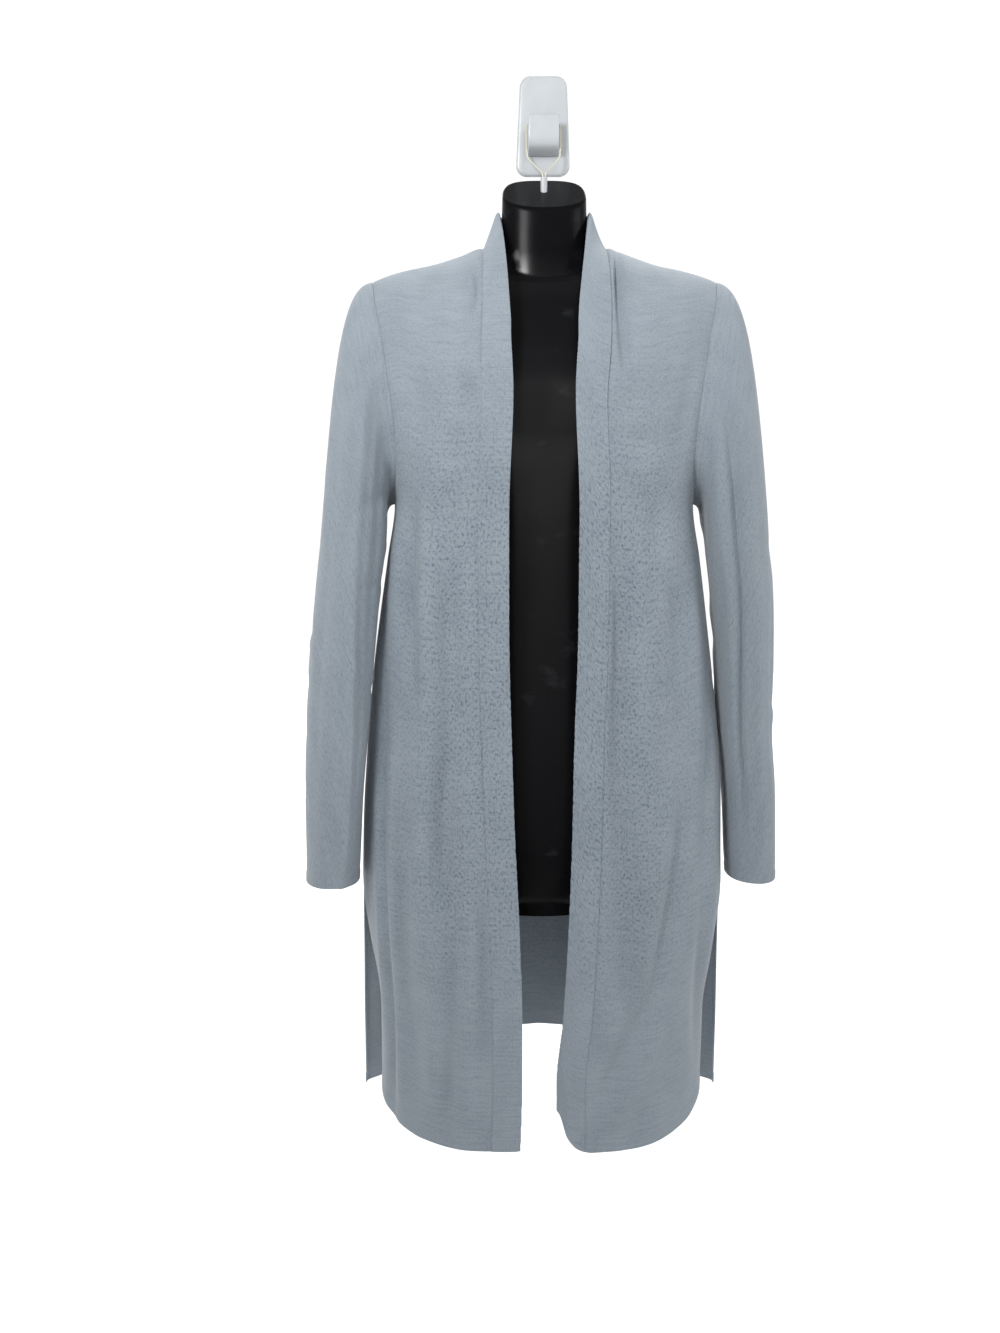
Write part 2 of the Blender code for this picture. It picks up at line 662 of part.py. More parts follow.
def cylinder(name, radius, low, high, made):
    """An upright cylinder on the ferrule's axis."""
    around = 24
    turn = np.linspace(0, 2 * math.pi, around, endpoint=False)
    ring = np.stack([radius * np.cos(turn), radius * np.sin(turn) - FERRULE_DEPTH], -1)
    points = [(x, y, low) for x, y in ring] + [(x, y, high) for x, y in ring]
    faces = [tuple(range(around - 1, -1, -1)), tuple(range(around, 2 * around))]
    for j in range(around):
        k = (j + 1) % around
        faces.append((j, k, around + k, around + j))
    return solid(name, points, faces, made)


def hidden(cutter):
    cutter.hide_render = True
    cutter.display_type = "WIRE"


def difference(body, cutter):
    step = body.modifiers.new("cut_" + cutter.name, "BOOLEAN")
    step.operation = "DIFFERENCE"
    step.solver = "EXACT"
    step.object = cutter
    hidden(cutter)


def union(body, other):
    step = body.modifiers.new("join_" + other.name, "BOOLEAN")
    step.operation = "UNION"
    step.solver = "EXACT"
    step.object = other
    hidden(other)


def ferrule(made):
    body = cylinder("cord_ferrule", FERRULE_RADIUS, FERRULE_FOOT, FERRULE_TOP, made)
    bore = cylinder("ferrule_bore", FERRULE_BORE, FERRULE_FLOOR, FERRULE_TOP + 0.01, made)
    difference(body, bore)
    return body


def hang_cord(made):
    """The loop of cord from the ferrule over the hook's nose and back."""
    share = np.linspace(0, 1, len(CORD))
    steps = np.linspace(0, 1, 41)
    line = np.stack([smooth(share, CORD[:, k], steps) for k in range(3)], -1)
    curve = bpy.data.curves.new("hang_cord", "CURVE")
    curve.dimensions = "3D"
    curve.bevel_depth = CORD_RADIUS
    curve.bevel_resolution = 2
    curve.use_fill_caps = True
    spline = curve.splines.new("POLY")
    spline.points.add(len(line) - 1)
    for point, (x, depth, z) in zip(spline.points, line):
        point.co = (x, -depth, z, 1.0)
    curve.materials.append(made)
    body = bpy.data.objects.new("hang_cord", curve)
    bpy.context.scene.collection.objects.link(body)
    return body


def wall_hook(made):
    """The plate with rounded corners, and the nose that the cord lies over, in one piece."""
    corner = []
    for quarter in range(4):
        for turn in np.linspace(0, math.pi / 2, 5):
            angle = quarter * math.pi / 2 + turn
            across = 1 if quarter in (0, 3) else -1
            up = 1 if quarter in (0, 1) else -1
            corner.append((
                across * (PLATE_HALF_WIDTH - PLATE_CORNER) + PLATE_CORNER * math.cos(angle),
                up * (PLATE_HALF_HEIGHT - PLATE_CORNER) + PLATE_CORNER * math.sin(angle)))
    count = len(corner)
    points = [(x, 0.0, z) for x, z in corner]
    points += [(x, -PLATE_DEPTH + 0.0012, z) for x, z in corner]
    points += [(x * 0.955, -PLATE_DEPTH, z * 0.975) for x, z in corner]
    faces = [tuple(range(count)), tuple(range(3 * count - 1, 2 * count - 1, -1))]
    for layer in range(2):
        for j in range(count):
            k = (j + 1) % count
            a = layer * count
            faces.append((a + j, a + count + j, a + count + k, a + k))
    plate = solid("wall_hook", points, faces, made)

    side = len(NOSE_PROFILE)
    points = [(-NOSE_HALF_WIDTH, -depth, z) for depth, z in NOSE_PROFILE]
    points += [(NOSE_HALF_WIDTH, -depth, z) for depth, z in NOSE_PROFILE]
    faces = [tuple(range(side)), tuple(range(2 * side - 1, side - 1, -1))]
    for j in range(side):
        k = (j + 1) % side
        faces.append((j, side + j, side + k, k))
    nose = solid("hook_nose", points, faces, made)
    union(plate, nose)
    return plate


def face_outward(body):
    """Turns every face of a mesh object outward."""
    mesh = body.data
    points = np.empty(len(mesh.vertices) * 3)
    mesh.vertices.foreach_get("co", points)
    points = points.reshape(-1, 3)
    mesh.calc_loop_triangles()
    volume = 0.0
    for triangle in mesh.loop_triangles:
        a, b, c = points[list(triangle.vertices)]
        volume += np.dot(a, np.cross(b, c)) / 6
    if volume < 0:
        mesh.flip_normals()


def main():
    for old in list(bpy.data.objects):
        bpy.data.objects.remove(old)
    knit = material("knit", (0.33, 0.36, 0.39), 0.9)
    band_knit = material("band_knit", (0.35, 0.38, 0.41), 0.9)
    gloss = material("form_gloss", (0.006, 0.006, 0.007), 0.12)
    clear = material("cord_clear", (0.72, 0.70, 0.60), 0.35)
    pale = material("hook_pale", (0.80, 0.80, 0.79), 0.4)

    back = placed(back_grid(23))
    fronts = {}
    for side, sign in (("left", -1.0), ("right", 1.0)):
        fronts[side] = placed(front_grid(side, sign, 13))
    wall("back", back, CLOTH, knit)
    for side, name in (("left", "front_right"), ("right", "front_left")):
        wall(name, fronts[side], CLOTH, knit)
    wall("collar_band", placed(band_grid(4)), BAND_CLOTH, band_knit)
    for side, sign, name in (("left", -1.0, "sleeve_right"), ("right", 1.0, "sleeve_left")):
        loop_front = fronts[side].copy()
        loop_back = back.copy()
        loop_front[..., 1] *= -1
        loop_back[..., 1] *= -1
        rings = sleeve_rings(side, sign, loop_front, loop_back)
        tube_wall(name, placed(rings), CLOTH, knit)
    torso_form(gloss)
    ferrule(pale)
    hang_cord(clear)
    wall_hook(pale)
    for body in bpy.data.objects:
        if body.type == "MESH":
            face_outward(body)


main()
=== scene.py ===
"""Looks of the open-front cardigan on its hanging torso form, with its cord and hook."""

import math

import bmesh
import bpy
import numpy as np
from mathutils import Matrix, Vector

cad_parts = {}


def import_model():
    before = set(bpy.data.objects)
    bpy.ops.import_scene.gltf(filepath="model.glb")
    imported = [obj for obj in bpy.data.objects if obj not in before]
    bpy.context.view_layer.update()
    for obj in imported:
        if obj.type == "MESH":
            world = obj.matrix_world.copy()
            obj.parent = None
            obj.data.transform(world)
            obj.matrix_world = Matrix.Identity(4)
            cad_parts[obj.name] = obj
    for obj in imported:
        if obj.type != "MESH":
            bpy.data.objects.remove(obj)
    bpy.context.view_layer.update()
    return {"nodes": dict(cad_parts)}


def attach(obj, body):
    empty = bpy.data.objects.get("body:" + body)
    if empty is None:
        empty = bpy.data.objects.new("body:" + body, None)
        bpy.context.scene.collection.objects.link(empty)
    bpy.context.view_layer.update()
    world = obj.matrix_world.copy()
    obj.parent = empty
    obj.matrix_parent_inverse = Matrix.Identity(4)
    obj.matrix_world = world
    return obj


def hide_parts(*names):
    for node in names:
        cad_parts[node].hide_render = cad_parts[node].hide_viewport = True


CLOTH = 0.0012
BAND_CLOTH = 0.0022
UNDERARM = -0.385
NECK_POINT = 0.0605
SIDE_DEPTH = 0.062
BACK_DEPTH = 0.0052
BACK_EXPONENT = 3.6
FRONT_ROLL = 0.075
BACK_ROLL = 0.015
VENT_TOP = -0.770
VENT_FRONT = 0.012
VENT_STEP = 0.0200
VENT_BACK = 0.004
BAND_WIDTH = 0.0290
HEM_TURN = 0.014
CUFF_TURN = 0.010
BAND_SINK = {"left": (0.0013, -0.22), "right": (0.0016, -0.29)}
FOLD_GAIN = 1.3
NECK_COLUMN = (-0.0980, 0.0425, 0.0665, 0.048)

# Rows and columns of the cloth
LOWER_SHARES = np.linspace(1.0, 0.0, 190)
LIFTS = np.concatenate([np.linspace(0.0, 0.12, 20)[1:], np.linspace(0.12, 1.0, 86)[1:]])
BACK_LIFTS = np.concatenate([
    np.linspace(0.0, 0.12, 20)[1:], np.linspace(0.12, 0.92, 60)[1:], np.linspace(0.92, 1.0, 14)[1:]])
FRONT_COLUMNS = 96
BACK_COLUMNS = 90
BAND_COLUMNS = 16
SLEEVE_ROUND = 132
CAP_RINGS = 56
ARM_RINGS = 150

# Cross-sections of the body: height, half width, depth of the front, squareness of the front
BODY = np.array([
    (-1.050, 0.193, 0.160, 2.7),
    (-0.950, 0.193, 0.154, 2.7),
    (-0.850, 0.192, 0.149, 2.7),
    (-0.770, 0.1905, 0.146, 2.6),
    (-0.700, 0.188, 0.143, 2.6),
    (-0.630, 0.183, 0.140, 2.5),
    (-0.560, 0.176, 0.138, 2.4),
    (-0.500, 0.168, 0.136, 2.4),
    (-0.440, 0.159, 0.137, 2.4),
    (-0.385, 0.151, 0.140, 2.4),
    (-0.330, 0.160, 0.143, 2.4),
    (-0.280, 0.168, 0.140, 2.4),
    (-0.230, 0.176, 0.130, 2.4),
    (-0.180, 0.186, 0.116, 2.4),
    (-0.110, 0.192, 0.100, 2.4),
])

# Shoulder line: distance from the middle, height, depth of the seam
SHOULDER = np.array([
    (0.0000, -0.1400, 0.0220),
    (0.0300, -0.1385, 0.0220),
    (0.0500, -0.1320, 0.0220),
    (0.0605, -0.1280, 0.0220),
    (0.0850, -0.1370, 0.0260),
    (0.1100, -0.1455, 0.0310),
    (0.1400, -0.1530, 0.0370),
    (0.1720, -0.1640, 0.0420),
    (0.1900, -0.1740, 0.0440),
])

# Armhole seam: share of the way up, turn of the section at the seam in front and behind
ARMHOLE = np.array([
    (0.00, 89.5, 90.5),
    (0.03, 82.0, 100.0),
    (0.08, 72.0, 112.0),
    (0.16, 64.5, 119.5),
    (0.30, 61.5, 124.5),
    (0.50, 61.5, 127.0),
    (0.75, 62.5, 124.0),
    (0.92, 64.4, 121.5),
    (1.00, 65.2, 120.2),
])

# Opening edges: height, distance from the middle on the viewer's left and right
OPENING = np.array([
    (-1.050, 0.0240, 0.0130),
    (-0.965, 0.0220, 0.0130),
    (-0.900, 0.0222, 0.0195),
    (-0.805, 0.0250, 0.0245),
    (-0.713, 0.0297, 0.0273),
    (-0.622, 0.0328, 0.0286),
    (-0.506, 0.0357, 0.0317),
    (-0.392, 0.0359, 0.0314),
    (-0.282, 0.0323, 0.0268),
    (-0.230, 0.0345, 0.0296),
])

# Top edge of the band round the neck: progress, distance from the middle, depth, height
NECK_EDGE = np.array([
    (0.00, 0.0355, 0.1200, -0.2000),
    (0.25, 0.0368, 0.1080, -0.1780),
    (0.50, 0.0390, 0.0900, -0.1490),
    (0.75, 0.0425, 0.0640, -0.1180),
    (1.00, 0.0468, 0.0330, -0.0930),
    (1.25, 0.0478, 0.0160, -0.0905),
    (1.50, 0.0400, 0.0062, -0.0925),
    (1.75, 0.0210, 0.0052, -0.1045),
    (2.00, 0.0000, 0.0052, -0.1062),
])

# Hems: share of the panel's width, height
FRONT_HEM = {
    "left": np.array([
        (0.00, -1.0300), (0.10, -1.0375), (0.45, -1.0390), (0.70, -1.0350), (0.85, -1.0260),
        (1.00, -1.0090)]),
    "right": np.array([
        (0.00, -0.9850), (0.07, -0.9960), (0.12, -1.0240), (0.18, -1.0360), (0.26, -1.0400), (0.40, -1.0403),
        (0.60, -1.0370), (0.85, -1.0250), (1.00, -1.0080)]),
}
BACK_HEM = np.array([(0.00, -0.9800), (0.40, -0.9850), (0.75, -1.0050), (1.00, -1.0220)])

# Folds of the fronts: x and height of the upper end, x and height of the lower end, half width,
# height of the ridge (below zero for a trough)
FOLDS = {
    "left": np.array([
        (0.118, -0.360, 0.112, -0.640, 0.0110, 0.0060),
        (0.131, -0.390, 0.129, -0.580, 0.0065, -0.0060),
        (0.145, -0.385, 0.148, -0.560, 0.0070, 0.0030),
        (0.072, -0.268, 0.082, -0.350, 0.0150, -0.0050),
        (0.084, -0.330, 0.096, -0.560, 0.0150, -0.0040),
        (0.098, -0.500, 0.100, -0.820, 0.0120, -0.0080),
        (0.080, -0.440, 0.082, -0.760, 0.0100, 0.0040),
        (0.120, -0.600, 0.122, -0.900, 0.0130, 0.0056),
        (0.139, -0.680, 0.134, -0.990, 0.0075, -0.0044),
        (0.112, -0.790, 0.108, -1.010, 0.0085, 0.0036),
        (0.094, -0.820, 0.092, -1.020, 0.0065, -0.0034),
        (0.078, -0.780, 0.078, -1.020, 0.0085, 0.0034),
        (0.063, -0.760, 0.064, -1.000, 0.0070, -0.0034),
        (0.151, -0.600, 0.152, -1.000, 0.0060, 0.0036),
        (0.160, -0.560, 0.158, -1.030, 0.0036, -0.0052),
        (0.168, -0.560, 0.167, -1.000, 0.0040, 0.0030),
        (0.140, -0.225, 0.112, -0.330, 0.0130, -0.0034),
        (0.098, -0.185, 0.072, -0.270, 0.0140, 0.0026),
        (0.069, -0.165, 0.067, -0.215, 0.0040, -0.0036),
    ]),
    "right": np.array([
        (0.071, -0.420, 0.082, -0.930, 0.0110, -0.0080),
        (0.094, -0.400, 0.100, -0.760, 0.0120, 0.0046),
        (0.055, -0.500, 0.060, -0.860, 0.0090, 0.0036),
        (0.128, -0.660, 0.090, -0.920, 0.0075, 0.0064),
        (0.144, -0.640, 0.106, -0.900, 0.0085, -0.0050),
        (0.110, -0.880, 0.048, -1.000, 0.0090, -0.0050),
        (0.126, -0.900, 0.066, -1.020, 0.0080, 0.0044),
        (0.146, -0.920, 0.090, -1.035, 0.0080, -0.0040),
        (0.130, -0.440, 0.138, -0.660, 0.0090, -0.0040),
        (0.148, -0.470, 0.156, -0.680, 0.0070, 0.0034),
        (0.161, -0.560, 0.165, -1.000, 0.0060, -0.0036),
        (0.171, -0.620, 0.174, -0.980, 0.0060, 0.0030),
        (0.084, -0.275, 0.090, -0.345, 0.0160, -0.0044),
        (0.100, -0.310, 0.104, -0.440, 0.0140, -0.0030),
        (0.146, -0.235, 0.128, -0.350, 0.0120, -0.0034),
        (0.108, -0.185, 0.082, -0.265, 0.0130, 0.0026),
        (0.0700, -0.140, 0.0700, -0.270, 0.0042, -0.0060),
        (0.0790, -0.150, 0.0800, -0.260, 0.0060, 0.0026),
    ]),
    "back": np.array([
        (0.060, -0.420, 0.072, -0.960, 0.0220, -0.0026),
        (0.105, -0.360, 0.120, -0.900, 0.0180, 0.0040),
        (0.150, -0.520, 0.160, -0.980, 0.0130, -0.0040),
        (-0.048, -0.460, -0.055, -0.980, 0.0240, -0.0026),
        (-0.098, -0.380, -0.112, -0.940, 0.0190, 0.0040),
        (-0.146, -0.480, -0.158, -0.960, 0.0130, -0.0040),
        (-0.010, -0.600, 0.004, -0.970, 0.0200, 0.0034),
        (0.030, -0.640, 0.038, -0.940, 0.0130, 0.0030),
        (-0.128, -0.250, -0.080, -0.420, 0.0160, 0.0030),
        (0.130, -0.250, 0.086, -0.440, 0.0160, 0.0028),
    ]),
}

# Sleeves below the biceps: height, x and depth of the middle, half width, half depth, turn
SLEEVES = {
    "left": np.array([
        (-0.425, 0.1930, 0.0800, 0.0320, 0.0480, 14.0),
        (-0.480, 0.1990, 0.0880, 0.0310, 0.0460, 17.0),
        (-0.545, 0.2050, 0.0960, 0.0305, 0.0435, 20.0),
        (-0.610, 0.2095, 0.1000, 0.0295, 0.0415, 20.0),
        (-0.680, 0.2140, 0.1020, 0.0280, 0.0395, 18.0),
        (-0.740, 0.2165, 0.1010, 0.0270, 0.0375, 14.0),
        (-0.768, 0.2178, 0.1000, 0.0265, 0.0355, 10.0),
    ]),
    "right": np.array([
        (-0.425, 0.1975, 0.0700, 0.0310, 0.0490, 8.0),
        (-0.480, 0.2045, 0.0700, 0.0305, 0.0470, 8.0),
        (-0.545, 0.2085, 0.0700, 0.0290, 0.0450, 8.0),
        (-0.610, 0.2115, 0.0690, 0.0270, 0.0425, 6.0),
        (-0.680, 0.2185, 0.0680, 0.0265, 0.0400, 4.0),
        (-0.740, 0.2215, 0.0670, 0.0260, 0.0375, 2.0),
        (-0.775, 0.2235, 0.0660, 0.0245, 0.0350, 0.0),
    ]),
}
SLEEVE_EXPONENT = 2.3

# Folds of the sleeves: height and turn of the upper end, height and turn of the lower end, half
# width in degrees, height of the ridge (turn 0 is the outer side, 90 the front)
SLEEVE_FOLDS = {
    "left": np.array([
        (-0.210, 84.0, -0.760, 98.0, 8.0, 0.0056),
        (-0.240, 112.0, -0.620, 124.0, 12.0, -0.0036),
        (-0.300, 38.0, -0.700, 34.0, 16.0, -0.0026),
        (-0.480, 118.0, -0.760, 112.0, 10.0, 0.0028),
        (-0.340, 214.0, -0.740, 222.0, 16.0, 0.0030),
        (-0.420, 268.0, -0.700, 262.0, 18.0, -0.0028),
        (-0.400, 316.0, -0.760, 322.0, 16.0, 0.0026),
    ]),
    "right": np.array([
        (-0.200, 90.0, -0.720, 108.0, 7.0, -0.0066),
        (-0.230, 70.0, -0.740, 80.0, 12.0, 0.0036),
        (-0.300, 112.0, -0.620, 118.0, 12.0, 0.0026),
        (-0.420, 30.0, -0.760, 26.0, 14.0, -0.0022),
        (-0.340, 216.0, -0.720, 208.0, 16.0, 0.0030),
        (-0.420, 262.0, -0.700, 268.0, 18.0, -0.0028),
        (-0.400, 318.0, -0.750, 312.0, 15.0, 0.0026),
    ]),
}

# Torso form: height, half width, depth of the front, tilt, how far the shoulders' back is moved out
FORM = np.array([
    (-0.0790, 0.0405, 0.0640, 0.75, 0.000),
    (-0.0810, 0.0420, 0.0660, 0.75, 0.000),
    (-0.0980, 0.0425, 0.0665, 0.60, 0.000),
    (-0.1160, 0.0430, 0.0668, 0.40, 0.000),
    (-0.1300, 0.0460, 0.0665, 0.20, 0.006),
    (-0.1385, 0.0640, 0.0650, 0.08, 0.013),
    (-0.1450, 0.0900, 0.0640, 0.03, 0.013),
    (-0.1520, 0.1170, 0.0630, 0.00, 0.013),
    (-0.1590, 0.1360, 0.0650, 0.00, 0.013),
    (-0.1720, 0.1480, 0.0760, 0.00, 0.007),
    (-0.1900, 0.1530, 0.0890, 0.00, 0.002),
    (-0.2180, 0.1540, 0.1030, 0.00, 0.000),
    (-0.2450, 0.1490, 0.1150, 0.00, 0.000),
    (-0.2800, 0.1410, 0.1250, 0.00, 0.000),
    (-0.3150, 0.1350, 0.1250, 0.00, 0.000),
    (-0.3550, 0.1290, 0.1150, 0.00, 0.000),
    (-0.4050, 0.1220, 0.1050, 0.00, 0.000),
    (-0.4600, 0.1180, 0.1010, 0.00, 0.000),
    (-0.5200, 0.1230, 0.1050, 0.00, 0.000),
    (-0.5800, 0.1350, 0.1110, 0.00, 0.000),
    (-0.6400, 0.1480, 0.1160, 0.00, 0.000),
    (-0.7000, 0.1560, 0.1180, 0.00, 0.000),
    (-0.7500, 0.1550, 0.1150, 0.00, 0.000),
    (-0.7850, 0.1460, 0.1060, 0.00, 0.000),
    (-0.8030, 0.1320, 0.0950, 0.00, 0.000),
    (-0.8110, 0.1120, 0.0830, 0.00, 0.000),
])
FORM_BACK = 0.0068
FORM_BACK_EXPONENT = 3.2
FORM_SIDE = 0.0400
FORM_ROUND = 144
BUST = (0.070, -0.300, 0.042, 0.046, 0.012)

# Cord: x, depth, height of the points that its middle runs through
CORD_RADIUS = 0.0008
CORD = np.array([
    (-0.0011, 0.0300, -0.0660),
    (-0.0013, 0.0298, -0.0560),
    (-0.0085, 0.0230, -0.0455),
    (-0.0167, 0.0143, -0.0320),
    (-0.0174, 0.0125, -0.0200),
    (-0.0174, 0.0116, -0.0070),
    (-0.0169, 0.0115, -0.0024),
    (-0.0152, 0.0115, -0.0011),
    (-0.0080, 0.0115, -0.0017),
    (0.0080, 0.0115, -0.0017),
    (0.0152, 0.0115, -0.0011),
    (0.0169, 0.0115, -0.0024),
    (0.0174, 0.0116, -0.0070),
    (0.0174, 0.0125, -0.0200),
    (0.0167, 0.0143, -0.0320),
    (0.0085, 0.0230, -0.0455),
    (0.0013, 0.0298, -0.0560),
    (0.0011, 0.0300, -0.0660),
])

# Wall hook: plate, how much narrower its top is, and the nose's outline as depth and height
PLATE_HALF_WIDTH = 0.0260
PLATE_HALF_HEIGHT = 0.0485
PLATE_CORNER = 0.0110
PLATE_TAPER = 0.085
PLATE_LAYERS = ((0.0, 0.0), (0.0, 0.0020), (0.0004, 0.0029), (0.0014, 0.0036), (0.0030, 0.0040))
NOSE_HALF_WIDTH = 0.0155
NOSE_PROFILE = np.array([
    (0.0030, -0.0030), (0.0145, -0.0030), (0.0160, -0.0010), (0.0170, 0.0050), (0.0190, 0.0062),
    (0.0212, 0.0045), (0.0216, -0.0150), (0.0200, -0.0220), (0.0160, -0.0265), (0.0080, -0.0285),
    (0.0030, -0.0305),
])
NOSE_LAYERS = (
    (-1.0, 0.93), (-0.97, 0.97), (-0.91, 0.993), (-0.80, 1.0),
    (0.80, 1.0), (0.91, 0.993), (0.97, 0.97), (1.0, 0.93))

CAMERA_PLACE = (-0.0444, -1.100, -0.407)
CAMERA_PITCH = 8.0
CAMERA_LENS = 27.03


def smooth(table_x, table_y, x):
    """A smooth curve through the rows of a table that doesn't overshoot between them."""
    table_x = np.asarray(table_x, float)
    table_y = np.asarray(table_y, float)
    step = np.diff(table_x)
    rise = np.diff(table_y) / step
    slope = np.empty_like(table_y)
    slope[0] = rise[0]
    slope[-1] = rise[-1]
    before = rise[:-1]
    after = rise[1:]
    same = before * after > 0
    with np.errstate(divide="ignore", invalid="ignore"):
        slope[1:-1] = np.where(same, 2 * before * after / (before + after), 0.0)
    x = np.clip(x, table_x[0], table_x[-1])
    cell = np.clip(np.searchsorted(table_x, x) - 1, 0, len(step) - 1)
    share = (x - table_x[cell]) / step[cell]
    low = table_y[cell]
    high = table_y[cell + 1]
    out = slope[cell] * step[cell]
    into = slope[cell + 1] * step[cell]
    return (
        low * (1 + 2 * share) * (1 - share) ** 2
        + out * share * (1 - share) ** 2
        + high * share ** 2 * (3 - 2 * share)
        + into * share ** 2 * (share - 1)
    )


def ease(low, high, x):
    share = np.clip((x - low) / (high - low), 0.0, 1.0)
    return share * share * (3 - 2 * share)


def body_at(z):
    return (smooth(BODY[:, 0], BODY[:, k], z) for k in (1, 2, 3))


def shoulder(x, column):
    return smooth(SHOULDER[:, 0], SHOULDER[:, column], np.abs(x))


def front_point(turn, lift):
    """A point of the front half; lift runs from 0 at the underarm to 1 at the shoulder."""
    sine = np.sin(np.radians(turn))
    cosine = np.cos(np.radians(turn))
    climb = np.clip(lift / 0.5, 0.0, 1.0)
    roll = np.radians(90 * np.clip((lift - 0.5) / 0.5, 0.0, 1.0))
    z = np.full_like(sine, UNDERARM + climb * 0.1)
    for _ in range(12):
        half, front, square = body_at(z)
        x = half * sine ** (2 / square)
        start = shoulder(x, 1) - FRONT_ROLL
        z = UNDERARM + climb * (start - UNDERARM) + FRONT_ROLL * np.sin(roll)
    depth = SIDE_DEPTH + (front - SIDE_DEPTH) * np.maximum(cosine, 0) ** (2 / square)
    seam = shoulder(x, 2)
    depth = seam + (depth - seam) * np.cos(roll)
    return np.stack([x, depth, z], -1)


def back_point(turn, lift):
    """A point of the back half; it rolls forward to the shoulder seam at the top."""
    sine = np.sin(np.radians(turn))
    cosine = np.abs(np.cos(np.radians(turn)))
    climb = np.clip(lift / 0.92, 0.0, 1.0)
    roll = np.radians(90 * np.clip((lift - 0.92) / 0.08, 0.0, 1.0))
    z = np.full_like(sine, UNDERARM + climb * 0.1)
    for _ in range(12):
        half = smooth(BODY[:, 0], BODY[:, 1], z)
        x = half * sine ** (2 / BACK_EXPONENT)
        start = shoulder(x, 1) - BACK_ROLL
        z = UNDERARM + climb * (start - UNDERARM) + BACK_ROLL * np.sin(roll)
    depth = SIDE_DEPTH - (SIDE_DEPTH - BACK_DEPTH) * cosine ** (2 / BACK_EXPONENT)
    lean = (1 - np.cos(roll)) * ease(0.044, NECK_POINT, x)
    depth = depth + (shoulder(x, 2) - depth) * lean
    return np.stack([x, depth, z], -1)


def lengths(line):
    return np.concatenate([[0], np.cumsum(np.linalg.norm(np.diff(line, axis=0), axis=1))])


def resampled(line, count, trim_start, trim_end):
    """Points at equal steps along a line, with a little left off each end."""
    length = lengths(line)
    want = np.linspace(trim_start, length[-1] - trim_end, count)
    return np.stack([np.interp(want, length, line[:, k]) for k in range(3)], -1)


def opening(side, z):
    column = 1 if side == "left" else 2
    return smooth(OPENING[:, 0], OPENING[:, column], z)


def seam_x(side, z):
    """Where the band's seam lies: beside the opening below, closing to the neck point above."""
    low = opening(side, np.minimum(z, -0.23)) + BAND_WIDTH
    return low + (NECK_POINT - low) * ease(-0.30, -0.19, z)


def lower_row(side, share):
    """One row of a front below the underarm, from the opening edge to the side, the hem at share 1."""
    turn = np.radians(np.linspace(0.0, 90.0, 700))
    across = np.sin(turn) ** (2 / 2.5)
    hem = smooth(FRONT_HEM[side][:, 0], FRONT_HEM[side][:, 1], across)
    z = UNDERARM + share * (hem - UNDERARM)
    half, front, square = body_at(z)
    half = half - VENT_STEP * ease(0.0, 1.0, (VENT_TOP - z) / 0.15)
    x = half * np.sin(turn) ** (2 / square)
    depth = SIDE_DEPTH + (front - SIDE_DEPTH) * np.cos(turn) ** (2 / square)
    line = np.stack([x, depth, z], -1)
    vent = VENT_FRONT * ease(0.0, 1.0, (VENT_TOP - z[-1]) / 0.13)
    return line[x >= opening(side, z)], vent


def parted(line, edge, seam):
    """Splits a row at the seam between its band and its panel, with an exact point on the seam."""
    over = line[:, 0] - seam
    first = int(np.argmax(over >= 0))
    share = over[first] / (over[first] - over[first - 1])
    at = line[first] + (line[first - 1] - line[first]) * share
    under = line[:, 0] - edge
    start = int(np.argmax(under >= 0))
    begin = line[start]
    if start > 0:
        share = under[start] / (under[start] - under[start - 1])
        begin = line[start] + (line[start - 1] - line[start]) * share
    band = np.concatenate([[begin], line[start + 1:first], [at]])
    panel = np.concatenate([[at], line[first:]])
    return band, panel


def front_and_band(side):
    """Grids of one front and of its share of the band, hem first, before any folds."""
    panel_rows = []
    band_rows = []
    for share in LOWER_SHARES:
        line, vent = lower_row(side, share)
        seam = seam_x(side, line[:, 2])
        edge = opening(side, line[:, 2])
        band, panel = parted(line, edge, seam)
        panel_rows.append(resampled(panel, FRONT_COLUMNS, 0.0, vent))
        band_rows.append(resampled(band, BAND_COLUMNS, 0.0, 0.0))
    for lift in LIFTS:
        edge_turn = smooth(ARMHOLE[:, 0], ARMHOLE[:, 1], lift)
        line = front_point(np.linspace(5.0, edge_turn, 700), np.full(700, lift))
        seam = seam_x(side, line[:, 2])
        edge = opening(side, np.minimum(line[:, 2], -0.23))
        band, panel = parted(line, edge, seam)
        panel_rows.append(resampled(panel, FRONT_COLUMNS, 0.0, 0.0))
        if lift < 0.5:
            band_rows.append(resampled(band, BAND_COLUMNS, 0.0, 0.0))
    return np.array(panel_rows), np.array(band_rows)


def neck_rows(side, panel, neckline):
    """Rows of the band that stands round the neck, from the chest to the middle of the back."""
    seam = []
    base = len(LOWER_SHARES)
    for k, lift in enumerate(LIFTS):
        if lift >= 0.5:
            seam.append((2 * (lift - 0.5), *panel[base + k, 0]))
    for x in np.linspace(NECK_POINT - 0.0012, 0.0, 44):
        point = [np.interp(x, neckline[:, 0], neckline[:, k]) for k in (1, 2)]
        seam.append((2 - x / NECK_POINT, x, *point))
    seam = np.array(seam)
    edge = np.stack([smooth(NECK_EDGE[:, 0], NECK_EDGE[:, k], seam[:, 0]) for k in (1, 2, 3)], -1)
    closer = opening(side, OPENING[-1, 0]) - OPENING[-1, 1]
    edge[:, 0] += closer * (1 - ease(-0.2, 1.0, seam[:, 0])) / (1 - ease(-0.2, 1.0, 0.0))
    across = np.linspace(0, 1, BAND_COLUMNS)[None, :, None]
    return edge[:, None] + across * (seam[:, None, 1:] - edge[:, None])


